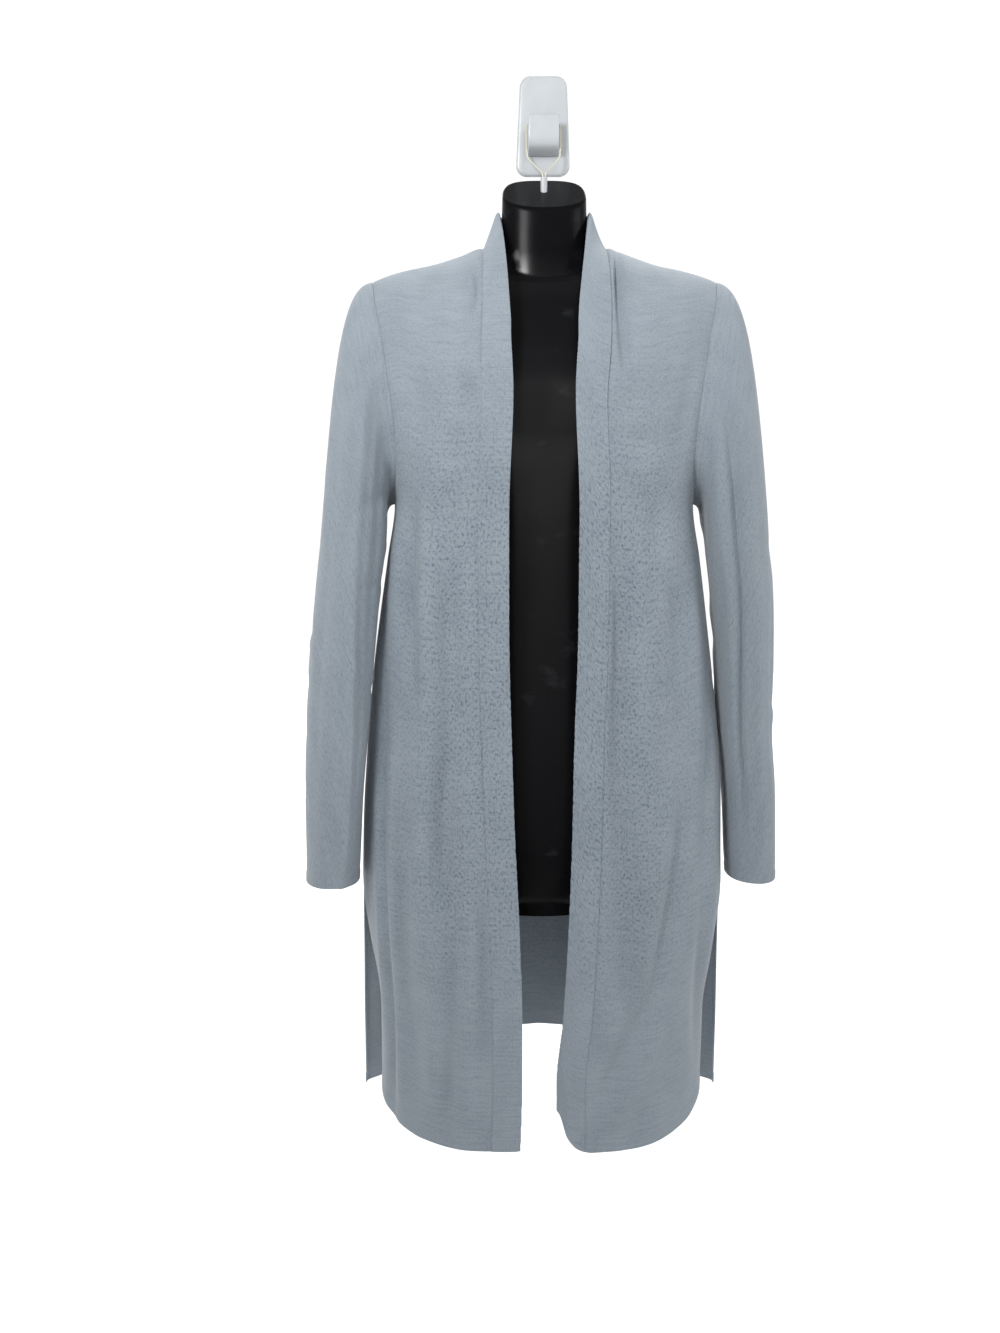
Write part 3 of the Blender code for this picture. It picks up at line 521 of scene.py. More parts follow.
def back_half():
    """Half of the back's grid, hem first, from the middle to the side seam or armhole."""
    grid = []
    turn = np.radians(np.linspace(180.0, 90.0, 700))
    across = np.abs(np.sin(turn)) ** (2 / BACK_EXPONENT)
    across[0] = 0.0
    hem = smooth(BACK_HEM[:, 0], BACK_HEM[:, 1], across)
    flat = np.abs(np.cos(turn)) ** (2 / BACK_EXPONENT)
    for share in LOWER_SHARES:
        z = UNDERARM + share * (hem - UNDERARM)
        x = smooth(BODY[:, 0], BODY[:, 1], z) * across
        line = np.stack([x, SIDE_DEPTH - (SIDE_DEPTH - BACK_DEPTH) * flat, z], -1)
        vent = VENT_BACK * ease(0.0, 1.0, (VENT_TOP - z[-1]) / 0.11)
        grid.append(resampled(line, BACK_COLUMNS, 0.0, vent))
    for lift in BACK_LIFTS:
        edge_turn = smooth(ARMHOLE[:, 0], ARMHOLE[:, 2], lift)
        line = back_point(np.linspace(180.0, edge_turn, 700), np.full(700, lift))
        line[0, 0] = 0.0
        grid.append(resampled(line, BACK_COLUMNS, 0.0, 0.0))
    return np.array(grid)


def flared(back):
    """The back with its side edges turned outward along the vents."""
    from_sides = np.minimum(edge_distance(back, 1, False), edge_distance(back, 1, True))
    drawn = ease(0.0, 0.06, VENT_TOP - back[..., 2])
    drawn = drawn * ease(0.003, 0.017, from_sides) * (1 - ease(0.045, 0.120, from_sides))
    out = back.copy()
    out[..., 0] *= 1 - 0.080 * drawn
    return out


def placed(points, sign=1.0):
    """Turns x, depth and height into X, Y and Z."""
    out = points.copy()
    out[..., 0] = points[..., 0] * sign
    out[..., 1] = -points[..., 1]
    return out


def normals(grid, outward):
    """Unit normals of a grid, turned to the side that the given direction is on."""
    along = np.gradient(grid, axis=0)
    across = np.gradient(grid, axis=1)
    normal = np.cross(along, across)
    normal /= np.linalg.norm(normal, axis=-1, keepdims=True) + 1e-12
    if (normal * np.asarray(outward)).sum() < 0:
        normal = -normal
    return normal


def fold_heights(grid, name, mirror=1.0):
    """How far each point of a grid moves out for the folds of one panel."""
    out = np.zeros(grid.shape[:2])
    x = grid[..., 0] * mirror
    for x_high, z_high, x_low, z_low, width, height in FOLDS[name]:
        share = (z_high - grid[..., 2]) / (z_high - z_low)
        along = np.clip(share, -0.3, 1.3)
        bend = 0.003 * np.sin(5.0 * along + 40.0 * x_high)
        middle = x_high + (x_low - x_high) * along + bend
        ends = ease(-0.15, 0.30, share) * (1 - ease(0.70, 1.15, share))
        wide = width * (1.0 + 0.35 * along)
        swell = 0.8 + 0.2 * np.sin(7.0 * along + 90.0 * x_low)
        out += height * ends * swell * np.exp(-((x - middle) / wide) ** 2)
    return FOLD_GAIN * out


def waves(grid, seed, size):
    """A soft unevenness of the cloth, from a few long waves."""
    chance = np.random.default_rng(seed)
    out = np.zeros(grid.shape[:2])
    for _ in range(14):
        long_x = chance.uniform(25, 95)
        long_z = chance.uniform(6, 40)
        phase = chance.uniform(0, 2 * math.pi)
        out += np.sin(grid[..., 0] * long_x + grid[..., 2] * long_z + phase) / 14
    return size * out


def edge_distance(grid, axis, last):
    """Length along the grid from one of its borders."""
    step = np.linalg.norm(np.diff(grid, axis=axis), axis=-1)
    pad = [(0, 0), (0, 0)]
    pad[axis] = (1, 0)
    run = np.pad(np.cumsum(step, axis=axis), pad)
    if not last:
        return run
    total = np.take(run, [-1], axis=axis)
    return total - run


def seam_sink(distance, depth=0.0003, width=0.0036):
    """How far cloth sinks beside a seam."""
    return -depth * np.exp(-(distance / width) ** 2)


def turned_edge(distance, width, height=0.0005):
    """The step of a turned-up hem, with the shallow channel of its stitching."""
    step = height * (1 - ease(width - 0.0012, width + 0.0012, distance))
    return step - 0.0007 * np.exp(-((distance - width) / 0.0012) ** 2)


def material(name, colour, roughness, **more):
    made = bpy.data.materials.new(name)
    made.use_nodes = True
    shader = made.node_tree.nodes["Principled BSDF"]
    shader.inputs["Base Color"].default_value = (*colour, 1.0)
    shader.inputs["Roughness"].default_value = roughness
    for key, value in more.items():
        shader.inputs[key.replace("_", " ")].default_value = value
    return made, shader


def link(tree, source, target):
    tree.links.new(source, target)


def maths(tree, operation, first, second=0.0, third=0.0):
    node = tree.nodes.new("ShaderNodeMath")
    node.operation = operation
    for socket, value in zip(node.inputs, (first, second, third)):
        if isinstance(value, (int, float)):
            socket.default_value = value
        else:
            link(tree, value, socket)
    return node.outputs[0]


def scaled_noise(tree, place, scale, detail=2.0, rough=0.5):
    stretch = tree.nodes.new("ShaderNodeVectorMath")
    stretch.operation = "MULTIPLY"
    link(tree, place, stretch.inputs[0])
    stretch.inputs[1].default_value = scale
    noise = tree.nodes.new("ShaderNodeTexNoise")
    noise.inputs["Scale"].default_value = 1.0
    noise.inputs["Detail"].default_value = detail
    noise.inputs["Roughness"].default_value = rough
    link(tree, stretch.outputs[0], noise.inputs["Vector"])
    return noise.outputs[0]


def mapped(tree, value, low, high, to_low, to_high):
    node = tree.nodes.new("ShaderNodeMapRange")
    node.inputs["From Min"].default_value = low
    node.inputs["From Max"].default_value = high
    node.inputs["To Min"].default_value = to_low
    node.inputs["To Max"].default_value = to_high
    link(tree, value, node.inputs["Value"])
    return node.outputs["Result"]


def knit_material(name, light, dark, wale=0.00145, course=0.00115):
    """Fine heathered knit: columns of small V stitches with painted shade in their hollows, short dark slubs
    and soft streaks.
    """
    made, shader = material(name, light, 0.92)
    shader.inputs["Sheen Weight"].default_value = 0.25
    shader.inputs["Sheen Roughness"].default_value = 0.55
    shader.inputs["Specular IOR Level"].default_value = 0.25
    tree = made.node_tree
    uv = tree.nodes.new("ShaderNodeUVMap")
    uv.uv_map = "cloth"
    place = uv.outputs["UV"]
    parts = tree.nodes.new("ShaderNodeSeparateXYZ")
    link(tree, place, parts.inputs[0])
    across = maths(tree, "MULTIPLY", parts.outputs[0], 1.0 / wale)
    along = maths(tree, "MULTIPLY", parts.outputs[1], 1.0 / course)
    cell = maths(tree, "FRACT", across)
    from_middle = maths(tree, "ABSOLUTE", maths(tree, "SUBTRACT", cell, 0.5))
    phase = maths(tree, "ADD", along, from_middle)
    leg = maths(tree, "SINE", maths(tree, "MULTIPLY", phase, 2 * math.pi))
    column = maths(tree, "SINE", maths(tree, "MULTIPLY", cell, math.pi))
    stitch = maths(tree, "ADD", maths(tree, "MULTIPLY", column, 0.7), maths(tree, "MULTIPLY", leg, 0.3))

    fleck = scaled_noise(tree, place, (420.0, 260.0, 1.0), 2.5, 0.6)
    fleck = mapped(tree, fleck, 0.50, 0.66, 0.0, 1.0)
    drift = scaled_noise(tree, place, (60.0, 45.0, 1.0), 2.0)
    sway = maths(tree, "MULTIPLY", drift, 14.0)
    across = maths(tree, "MULTIPLY", parts.outputs[0], 2 * math.pi / 0.0080)
    pits = maths(tree, "SINE", maths(tree, "ADD", across, sway))
    along = maths(tree, "MULTIPLY", parts.outputs[1], 2 * math.pi / 0.0064)
    rows = maths(tree, "SINE", maths(tree, "ADD", along, sway))
    pits = mapped(tree, maths(tree, "MULTIPLY", pits, rows), 0.15, 0.9, 0.0, 0.40)
    fleck = maths(tree, "ADD", fleck, pits)
    zone = tree.nodes.new("ShaderNodeAttribute")
    zone.attribute_name = "slub"
    slub = zone.outputs["Fac"]
    grain = scaled_noise(tree, place, (900.0, 600.0, 1.0), 1.0)
    streak = scaled_noise(tree, place, (24.0, 420.0, 1.0), 2.0)
    cloud = scaled_noise(tree, place, (30.0, 14.0, 1.0), 3.0)
    tone = maths(tree, "MULTIPLY", fleck, slub)
    tone = maths(tree, "ADD", tone, mapped(tree, grain, 0.25, 0.75, -0.16, 0.22))
    tone = maths(tree, "ADD", tone, mapped(tree, streak, 0.3, 0.7, -0.10, 0.12))
    tone = maths(tree, "ADD", tone, mapped(tree, cloud, 0.3, 0.7, -0.08, 0.12))
    # Painted shade: the colour darkens where the stitch height is low, in the hollows between stitch columns
    # and legs.
    tone = maths(tree, "ADD", tone, mapped(tree, stitch, -0.3, 1.0, 0.22, -0.04))
    mix = tree.nodes.new("ShaderNodeMix")
    mix.data_type = "RGBA"
    mix.clamp_factor = True
    link(tree, tone, mix.inputs["Factor"])
    mix.inputs["A"].default_value = (*light, 1.0)
    mix.inputs["B"].default_value = (*dark, 1.0)
    link(tree, mix.outputs["Result"], shader.inputs["Base Color"])

    height = maths(tree, "ADD", stitch, maths(tree, "MULTIPLY", grain, 0.8))
    height = maths(tree, "ADD", height, maths(tree, "MULTIPLY", streak, 0.5))
    bump = tree.nodes.new("ShaderNodeBump")
    bump.inputs["Strength"].default_value = 0.55
    bump.inputs["Distance"].default_value = 0.00025
    link(tree, height, bump.inputs["Height"])
    link(tree, bump.outputs["Normal"], shader.inputs["Normal"])
    return made


def mesh_object(name, points, faces, made, uvs=None):
    mesh = bpy.data.meshes.new(name)
    mesh.from_pydata(points.tolist(), [], faces)
    mesh.materials.append(made)
    mesh.polygons.foreach_set("use_smooth", [True] * len(mesh.polygons))
    mesh.set_sharp_from_angle(angle=math.radians(50.0))
    if uvs is not None:
        layer = mesh.uv_layers.new(name="cloth")
        index = np.empty(len(mesh.loops), dtype=np.int64)
        mesh.loops.foreach_get("vertex_index", index)
        layer.data.foreach_set("uv", uvs[index].ravel())
        slub = mesh.attributes.new(name="slub", type="FLOAT", domain="POINT")
        slub.data.foreach_set("value", slub_strength(points))
    body = bpy.data.objects.new(name, mesh)
    bpy.context.scene.collection.objects.link(body)
    return body


def slub_strength(points):
    """How strong the dark slubs of the yarn are: most in the middle of the fronts."""
    x, y, z = points.T
    tall = ease(-0.98, -0.72, z) * (1 - ease(-0.42, -0.20, z))
    inner = 1 - 0.6 * ease(0.09, 0.16, np.abs(x))
    return 0.12 + 0.44 * tall * inner * np.where(y < -SIDE_DEPTH, 1.0, 0.5)


def cloth_uvs(grid):
    """Cloth coordinates in metres: across along the rows, and up along the columns."""
    across = np.concatenate([
        np.zeros((grid.shape[0], 1)),
        np.cumsum(np.linalg.norm(np.diff(grid, axis=1), axis=-1), axis=1)], axis=1)
    middle = across[:, grid.shape[1] // 2][:, None]
    up = np.concatenate([
        np.zeros((1, grid.shape[1])),
        np.cumsum(np.linalg.norm(np.diff(grid, axis=0), axis=-1), axis=0)], axis=0)
    return np.stack([across - middle, up], -1)


def shell(name, grid, outward, thickness, made):
    """A thin closed sheet: the grid as its outer face, its inner face behind it and a flat border joining
    them.
    """
    rows, columns = grid.shape[:2]
    normal = normals(grid, outward)
    count = rows * columns
    points = np.concatenate([
        (grid + normal * thickness / 2).reshape(-1, 3), (grid - normal * thickness / 2).reshape(-1, 3)])
    flat = cloth_uvs(grid).reshape(-1, 2)
    uvs = np.concatenate([flat, flat])
    i, j = np.meshgrid(np.arange(rows - 1), np.arange(columns - 1), indexing="ij")
    a = (i * columns + j).ravel()
    quads = np.stack([a, a + columns, a + columns + 1, a + 1], -1)
    test = np.cross(points[quads[:, 1]] - points[quads[:, 0]], points[quads[:, 3]] - points[quads[:, 0]])
    if (test * normal.reshape(-1, 3)[quads[:, 0]]).sum() < 0:
        quads = quads[:, ::-1]
    faces = quads.tolist() + (quads[:, ::-1] + count).tolist()
    border = [(0, k) for k in range(columns)]
    border += [(k, columns - 1) for k in range(1, rows)]
    border += [(rows - 1, k) for k in range(columns - 2, -1, -1)]
    border += [(k, 0) for k in range(rows - 2, 0, -1)]
    flip = quads[0][1] == a[0] + 1
    for k, (m, n) in enumerate(border):
        p, q = border[(k + 1) % len(border)]
        one = m * columns + n
        two = p * columns + q
        faces.append((two, one, count + one, count + two) if flip else (one, two, count + two, count + one))
    return mesh_object(name, points, faces, made, uvs)


def tube_shell(name, rings, thickness, made):
    """A thin closed sheet round an open tube of rings."""
    rows, around = rings.shape[:2]
    along = np.gradient(rings, axis=0)
    round_it = np.roll(rings, -1, axis=1) - np.roll(rings, 1, axis=1)
    normal = np.cross(along, round_it)
    normal /= np.linalg.norm(normal, axis=-1, keepdims=True)
    middle = rings[rows // 2].mean(axis=0)
    if ((rings[rows // 2] - middle) * normal[rows // 2]).sum() < 0:
        normal = -normal
    closed = np.concatenate([rings, rings[:, :1]], axis=1)
    shut = np.concatenate([normal, normal[:, :1]], axis=1)
    columns = around + 1
    count = rows * columns
    points = np.concatenate([
        (closed + shut * thickness / 2).reshape(-1, 3), (closed - shut * thickness / 2).reshape(-1, 3)])
    flat = cloth_uvs(closed).reshape(-1, 2)
    i, j = np.meshgrid(np.arange(rows - 1), np.arange(columns - 1), indexing="ij")
    a = (i * columns + j).ravel()
    quads = np.stack([a, a + columns, a + columns + 1, a + 1], -1)
    test = np.cross(points[quads[:, 1]] - points[quads[:, 0]], points[quads[:, 3]] - points[quads[:, 0]])
    flip = (test * shut.reshape(-1, 3)[quads[:, 0]]).sum() < 0
    if flip:
        quads = quads[:, ::-1]
    faces = quads.tolist() + (quads[:, ::-1] + count).tolist()
    for base, turned in ((0, False), ((rows - 1) * columns, True)):
        for k in range(columns - 1):
            one = base + k
            two = base + k + 1
            rim = (one, two, count + two, count + one)
            faces.append(rim if turned == bool(flip) else rim[::-1])
    body = mesh_object(name, points, faces, made, np.concatenate([flat, flat]))
    weld(body)
    return body


def weld(body):
    """Joins the first and last points of each ring, which lie in one place."""
    made = bmesh.new()
    made.from_mesh(body.data)
    bmesh.ops.remove_doubles(made, verts=made.verts, dist=1e-6)
    made.to_mesh(body.data)
    made.free()


def sleeve_ring(side, height, angles):
    """A ring of the sleeve below the biceps, with its long folds."""
    table = SLEEVES[side]
    x, depth, half_x, half_y, turn = (smooth(-table[:, 0], table[:, k], -height) for k in range(1, 6))
    degrees = np.degrees(angles)
    bump = np.zeros_like(angles)
    for z_high, at_high, z_low, at_low, spread, size in SLEEVE_FOLDS[side]:
        share = (z_high - height) / (z_high - z_low)
        at = at_high + (at_low - at_high) * share + 4.0 * math.sin(6.0 * share + at_high)
        ends = ease(-0.1, 0.3, share) * (1 - ease(0.75, 1.15, share))
        away = (degrees - at + 180) % 360 - 180
        bump = bump + size * ends * np.exp(-(away / spread) ** 2)
    cosine = np.cos(angles)
    sine = np.sin(angles)
    local_x = (half_x + bump) * np.sign(cosine) * np.abs(cosine) ** (2 / SLEEVE_EXPONENT)
    local_y = (half_y + bump) * np.sign(sine) * np.abs(sine) ** (2 / SLEEVE_EXPONENT)
    lean = np.radians(turn)
    return np.stack([
        x + local_x * np.cos(lean) - local_y * np.sin(lean),
        depth + local_x * np.sin(lean) + local_y * np.cos(lean),
        np.full_like(angles, height)], -1)


def around_line(line, shares):
    """Points at the given shares of the way round a closed line."""
    shut = np.concatenate([line, line[:1]])
    length = lengths(shut)
    return np.stack([np.interp(shares * length[-1], length, shut[:, k]) for k in range(3)], -1)


def sleeve_rings(side, panel, back):
    """Rings of the sleeve from the armhole seam over its cap and down to the cuff."""
    base = len(LOWER_SHARES) - 1
    edge_front = panel[base:, -1][::-1]
    edge_back = back[base:, -1]
    loop = np.concatenate([edge_front, edge_back[1:-1]])
    shares = np.arange(SLEEVE_ROUND) / SLEEVE_ROUND
    start = around_line(loop, shares)
    dense = np.linspace(0, 2 * math.pi, 1440, endpoint=False)
    table = SLEEVES[side]
    top = table[0, 0]
    ring = around_line(sleeve_ring(side, top, dense), shares)
    drop = start[:, 2] - ring[:, 2]
    high = ease(0.04, 0.24, drop)
    still = np.zeros_like(drop)
    push = start + np.stack([0.012 + 0.022 * high, still, -0.004 * high], -1)
    pull = ring + np.stack([-0.062 * drop, still, 0.62 * drop], -1)
    start = start + np.array([0.0004, 0.0, 0.0])
    rings = []
    for share in np.linspace(0, 1, CAP_RINGS) ** 1.15:
        rest = 1 - share
        rings.append(
            rest ** 3 * start + 3 * rest ** 2 * share * push
            + 3 * rest * share ** 2 * pull + share ** 3 * ring)
    for height in np.linspace(top, table[-1, 0], ARM_RINGS)[1:]:
        rings.append(around_line(sleeve_ring(side, height, dense), shares))
    return np.array(rings)


def crumple(rings, seed, side):
    """Small uneven creases across the sleeve at the elbow and below the armhole."""
    chance = np.random.default_rng(seed)
    along = np.gradient(rings, axis=0)
    round_it = np.roll(rings, -1, axis=1) - np.roll(rings, 1, axis=1)
    normal = np.cross(along, round_it)
    normal /= np.linalg.norm(normal, axis=-1, keepdims=True)
    middle = rings[len(rings) // 2].mean(axis=0)
    if ((rings[len(rings) // 2] - middle) * normal[len(rings) // 2]).sum() < 0:
        normal = -normal
    height = rings[..., 2]
    turn = np.linspace(0, 2 * math.pi, rings.shape[1], endpoint=False)[None, :]
    out = np.zeros_like(height)
    for _ in range(16):
        at = chance.uniform(-0.70, -0.36)
        slope = chance.uniform(-0.020, 0.020)
        centre = chance.uniform(0, 2 * math.pi)
        wide = chance.uniform(0.5, 1.1)
        tall = chance.uniform(0.006, 0.013)
        size = chance.uniform(0.0006, 0.0016) * chance.choice([-1, 1])
        away = (turn - centre + math.pi) % (2 * math.pi) - math.pi
        out += size * np.exp(-((height - at - slope * away) / tall) ** 2 - (away / wide) ** 2)
    for _ in range(10):
        rate = int(chance.integers(2, 7))
        long_z = chance.uniform(8, 34)
        phase = chance.uniform(0, 2 * math.pi)
        out += 0.00009 * np.sin(rate * turn + height * long_z + phase)
    from_cap = edge_distance(rings, 0, False)
    from_cuff = edge_distance(rings, 0, True)
    out *= ease(0.0, 0.05, from_cap)
    out += seam_sink(from_cap) + turned_edge(from_cuff, CUFF_TURN)
    return rings + normal * out[..., None]


def form_ring(height, half, front, tilt, rise):
    turn = np.linspace(0, 2 * math.pi, FORM_ROUND, endpoint=False)
    cosine = np.cos(turn)
    sine = np.sin(turn)
    squareness = np.where(cosine > 0, 2.2, FORM_BACK_EXPONENT)
    x = half * np.sign(sine) * np.abs(sine) ** (2 / squareness)
    ahead = FORM_SIDE + (front - FORM_SIDE) * np.maximum(cosine, 0) ** (2 / 2.2)
    back = FORM_BACK + rise * ease(0.043, 0.070, np.abs(x))
    behind = FORM_SIDE - (FORM_SIDE - back) * np.maximum(-cosine, 0) ** (2 / FORM_BACK_EXPONENT)
    depth = np.where(cosine > 0, ahead, behind)
    bust_x, bust_z, wide, tall, swell = BUST
    near = np.exp(-((np.abs(x) - bust_x) / wide) ** 2 - ((height - bust_z) / tall) ** 2)
    depth = depth + swell * near * ease(0.2, 0.7, cosine)
    column_top, column_half, column_front, widens = NECK_COLUMN
    below = max(column_top - height, 0.0)
    across = np.clip(1 - (np.abs(x) / (column_half + widens * below)) ** 2.2, 0, 1) ** (1 / 2.2)
    column = FORM_SIDE + (column_front + widens * below - FORM_SIDE) * across
    if below > 0.0:
        depth = np.where(cosine > 0, np.maximum(depth, column), depth)
    z = height - tilt * (depth - FORM_SIDE)
    return np.stack([x, -depth, z], -1)


def torso_form(made):
    key = -FORM[:, 0]
    heights = np.concatenate([
        np.linspace(FORM[0, 0], FORM[1, 0], 5), np.linspace(FORM[1, 0], FORM[11, 0], 60)[1:],
        np.linspace(FORM[11, 0], FORM[22, 0], 90)[1:], np.linspace(FORM[22, 0], FORM[-1, 0], 26)[1:]])
    rings = np.array([
        form_ring(h, *(smooth(key, FORM[:, k], -h) for k in (1, 2, 3, 4))) for h in heights])
    count = len(rings)
    faces = [tuple(range(FORM_ROUND))]
    for i in range(count - 1):
        for j in range(FORM_ROUND):
            a = i * FORM_ROUND + j
            b = i * FORM_ROUND + (j + 1) % FORM_ROUND
            faces.append((a, a + FORM_ROUND, b + FORM_ROUND, b))
    faces.append(tuple((count - 1) * FORM_ROUND + j for j in range(FORM_ROUND - 1, -1, -1)))
    body = mesh_object("form", rings.reshape(-1, 3), faces, made)
    body.data.polygons[0].use_smooth = False
    body.data.polygons[len(faces) - 1].use_smooth = False
    return body


def cad_copy(frame, node, name, made):
    """A smooth-shaded copy of a CAD node."""
    source = frame["nodes"][node]
    mesh = source.data.copy()
    body = bpy.data.objects.new(name, mesh)
    body.matrix_world = source.matrix_world
    bpy.context.scene.collection.objects.link(body)
    mesh.materials.clear()
    mesh.materials.append(made)
    mesh.polygons.foreach_set("use_smooth", [True] * len(mesh.polygons))
    mesh.set_sharp_from_angle(angle=math.radians(40.0))
    return body


def plate_outline(inset):
    """The plate's rounded outline, drawn in by the inset."""
    radius = PLATE_CORNER - inset
    points = []
    for quarter in range(4):
        across = 1 if quarter in (0, 3) else -1
        up = 1 if quarter in (0, 1) else -1
        for turn in np.linspace(0, math.pi / 2, 12):
            angle = quarter * math.pi / 2 + turn
            points.append((
                across * (PLATE_HALF_WIDTH - PLATE_CORNER) + radius * math.cos(angle),
                up * (PLATE_HALF_HEIGHT - PLATE_CORNER) + radius * math.sin(angle)))
    return np.array(points)


def corners_cut(profile):
    """A closed outline with its corners rounded."""
    for _ in range(2):
        after = np.roll(profile, -1, axis=0)
        profile = np.stack([0.75 * profile + 0.25 * after, 0.25 * profile + 0.75 * after], 1).reshape(-1, 2)
    return profile


def stacked(layers, base):
    """Faces of a closed body made of rings of one size, with a cap on each end."""
    count = len(layers[0])
    faces = [tuple(range(base, base + count))]
    for i in range(len(layers) - 1):
        for j in range(count):
            a = base + i * count + j
            b = base + i * count + (j + 1) % count
            faces.append((b, a, a + count, b + count))
    top = base + (len(layers) - 1) * count
    faces.append(tuple(range(top + count - 1, top - 1, -1)))
    return faces


def wall_hook(made):
    """The pillow-edged plate and the rounded nose of the wall hook."""
    plate = []
    for inset, depth in PLATE_LAYERS:
        outline = plate_outline(inset)
        x = outline[:, 0] * (1 - PLATE_TAPER * outline[:, 1] / PLATE_HALF_HEIGHT)
        plate.append(np.stack([x, np.full_like(x, -depth), outline[:, 1]], -1))
    profile = corners_cut(NOSE_PROFILE)
    middle = profile.mean(axis=0)
    nose = []
    for share, scale in NOSE_LAYERS:
        ring = middle + (profile - middle) * scale
        nose.append(np.stack([np.full(len(ring), share * NOSE_HALF_WIDTH), -ring[:, 0], ring[:, 1]], -1))
    points = np.concatenate([np.concatenate(plate), np.concatenate(nose)])
    faces = stacked(plate, 0) + stacked(nose, sum(len(ring) for ring in plate))
    body = mesh_object("hook", points, faces, made)
    tidied = bmesh.new()
    tidied.from_mesh(body.data)
    bmesh.ops.recalc_face_normals(tidied, faces=tidied.faces)
    tidied.to_mesh(body.data)
    tidied.free()
    body.data.set_sharp_from_angle(angle=math.radians(50.0))
    return body


def hang_cord(made):
    """The loop of cord from the ferrule over the hook's nose and back."""
    share = np.linspace(0, 1, len(CORD))
    line = np.stack([smooth(share, CORD[:, k], np.linspace(0, 1, 161)) for k in range(3)], -1)
    curve = bpy.data.curves.new("cord", "CURVE")
    curve.dimensions = "3D"
    curve.bevel_depth = CORD_RADIUS
    curve.bevel_resolution = 4
    curve.use_fill_caps = True
    spline = curve.splines.new("POLY")
    spline.points.add(len(line) - 1)
    for point, (x, depth, z) in zip(spline.points, line):
        point.co = (x, -depth, z, 1.0)
    curve.materials.append(made)
    body = bpy.data.objects.new("cord", curve)
    bpy.context.scene.collection.objects.link(body)
    return body, float(lengths(line)[-1])


def object_place(tree):
    return tree.nodes.new("ShaderNodeTexCoord").outputs["Object"]


def bumped(tree, shader, height, strength, distance):
    bump = tree.nodes.new("ShaderNodeBump")
    bump.inputs["Strength"].default_value = strength
    bump.inputs["Distance"].default_value = distance
    link(tree, height, bump.inputs["Height"])
    link(tree, bump.outputs["Normal"], shader.inputs["Normal"])


def tinted(tree, shader, amount, first, second):
    mix = tree.nodes.new("ShaderNodeMix")
    mix.data_type = "RGBA"
    mix.clamp_factor = True
    link(tree, amount, mix.inputs["Factor"])
    mix.inputs["A"].default_value = (*first, 1.0)
    mix.inputs["B"].default_value = (*second, 1.0)
    link(tree, mix.outputs["Result"], shader.inputs["Base Color"])


def gloss_material():
    """Black moulded plastic with cloudy gloss and a few pale rubbed marks."""
    made, shader = material("form_gloss", (0.0048, 0.0049, 0.0058), 0.26)
    shader.inputs["Specular IOR Level"].default_value = 0.22
    tree = made.node_tree
    place = object_place(tree)
    cloud = scaled_noise(tree, place, (9.0, 9.0, 5.0), 3.0)
    link(tree, mapped(tree, cloud, 0.3, 0.7, 0.20, 0.36), shader.inputs["Roughness"])
    height = tree.nodes.new("ShaderNodeSeparateXYZ")
    link(tree, place, height.inputs[0])
    low = mapped(tree, height.outputs[2], -0.74, -0.40, 0.04, 0.34)
    high = mapped(tree, height.outputs[2], -0.175, -0.140, 1.0, 0.15)
    link(tree, maths(tree, "MULTIPLY", low, high), shader.inputs["Specular IOR Level"])
    rubbed = scaled_noise(tree, place, (22.0, 22.0, 34.0), 4.0, 0.60)
    marks = mapped(tree, rubbed, 0.62, 0.78, 0.0, 0.28)
    tinted(tree, shader, marks, (0.0048, 0.0049, 0.0058), (0.060, 0.062, 0.066))
    bumped(tree, shader, scaled_noise(tree, place, (60.0, 60.0, 40.0), 2.0), 0.15, 0.0006)
    return made


def plastic_material(name, colour, grain):
    """Smooth pale plastic with a little unevenness."""
    made, shader = material(name, colour, 0.34)
    tree = made.node_tree
    place = object_place(tree)
    cloud = scaled_noise(tree, place, (40.0, 40.0, 40.0), 2.0)
    link(tree, mapped(tree, cloud, 0.3, 0.7, 0.28, 0.42), shader.inputs["Roughness"])
    darker = tuple(0.9 * c for c in colour)
    tinted(tree, shader, mapped(tree, cloud, 0.35, 0.65, 0.0, 0.6), colour, darker)
    bumped(tree, shader, scaled_noise(tree, place, grain, 2.0), 0.25, 0.0001)
    return made


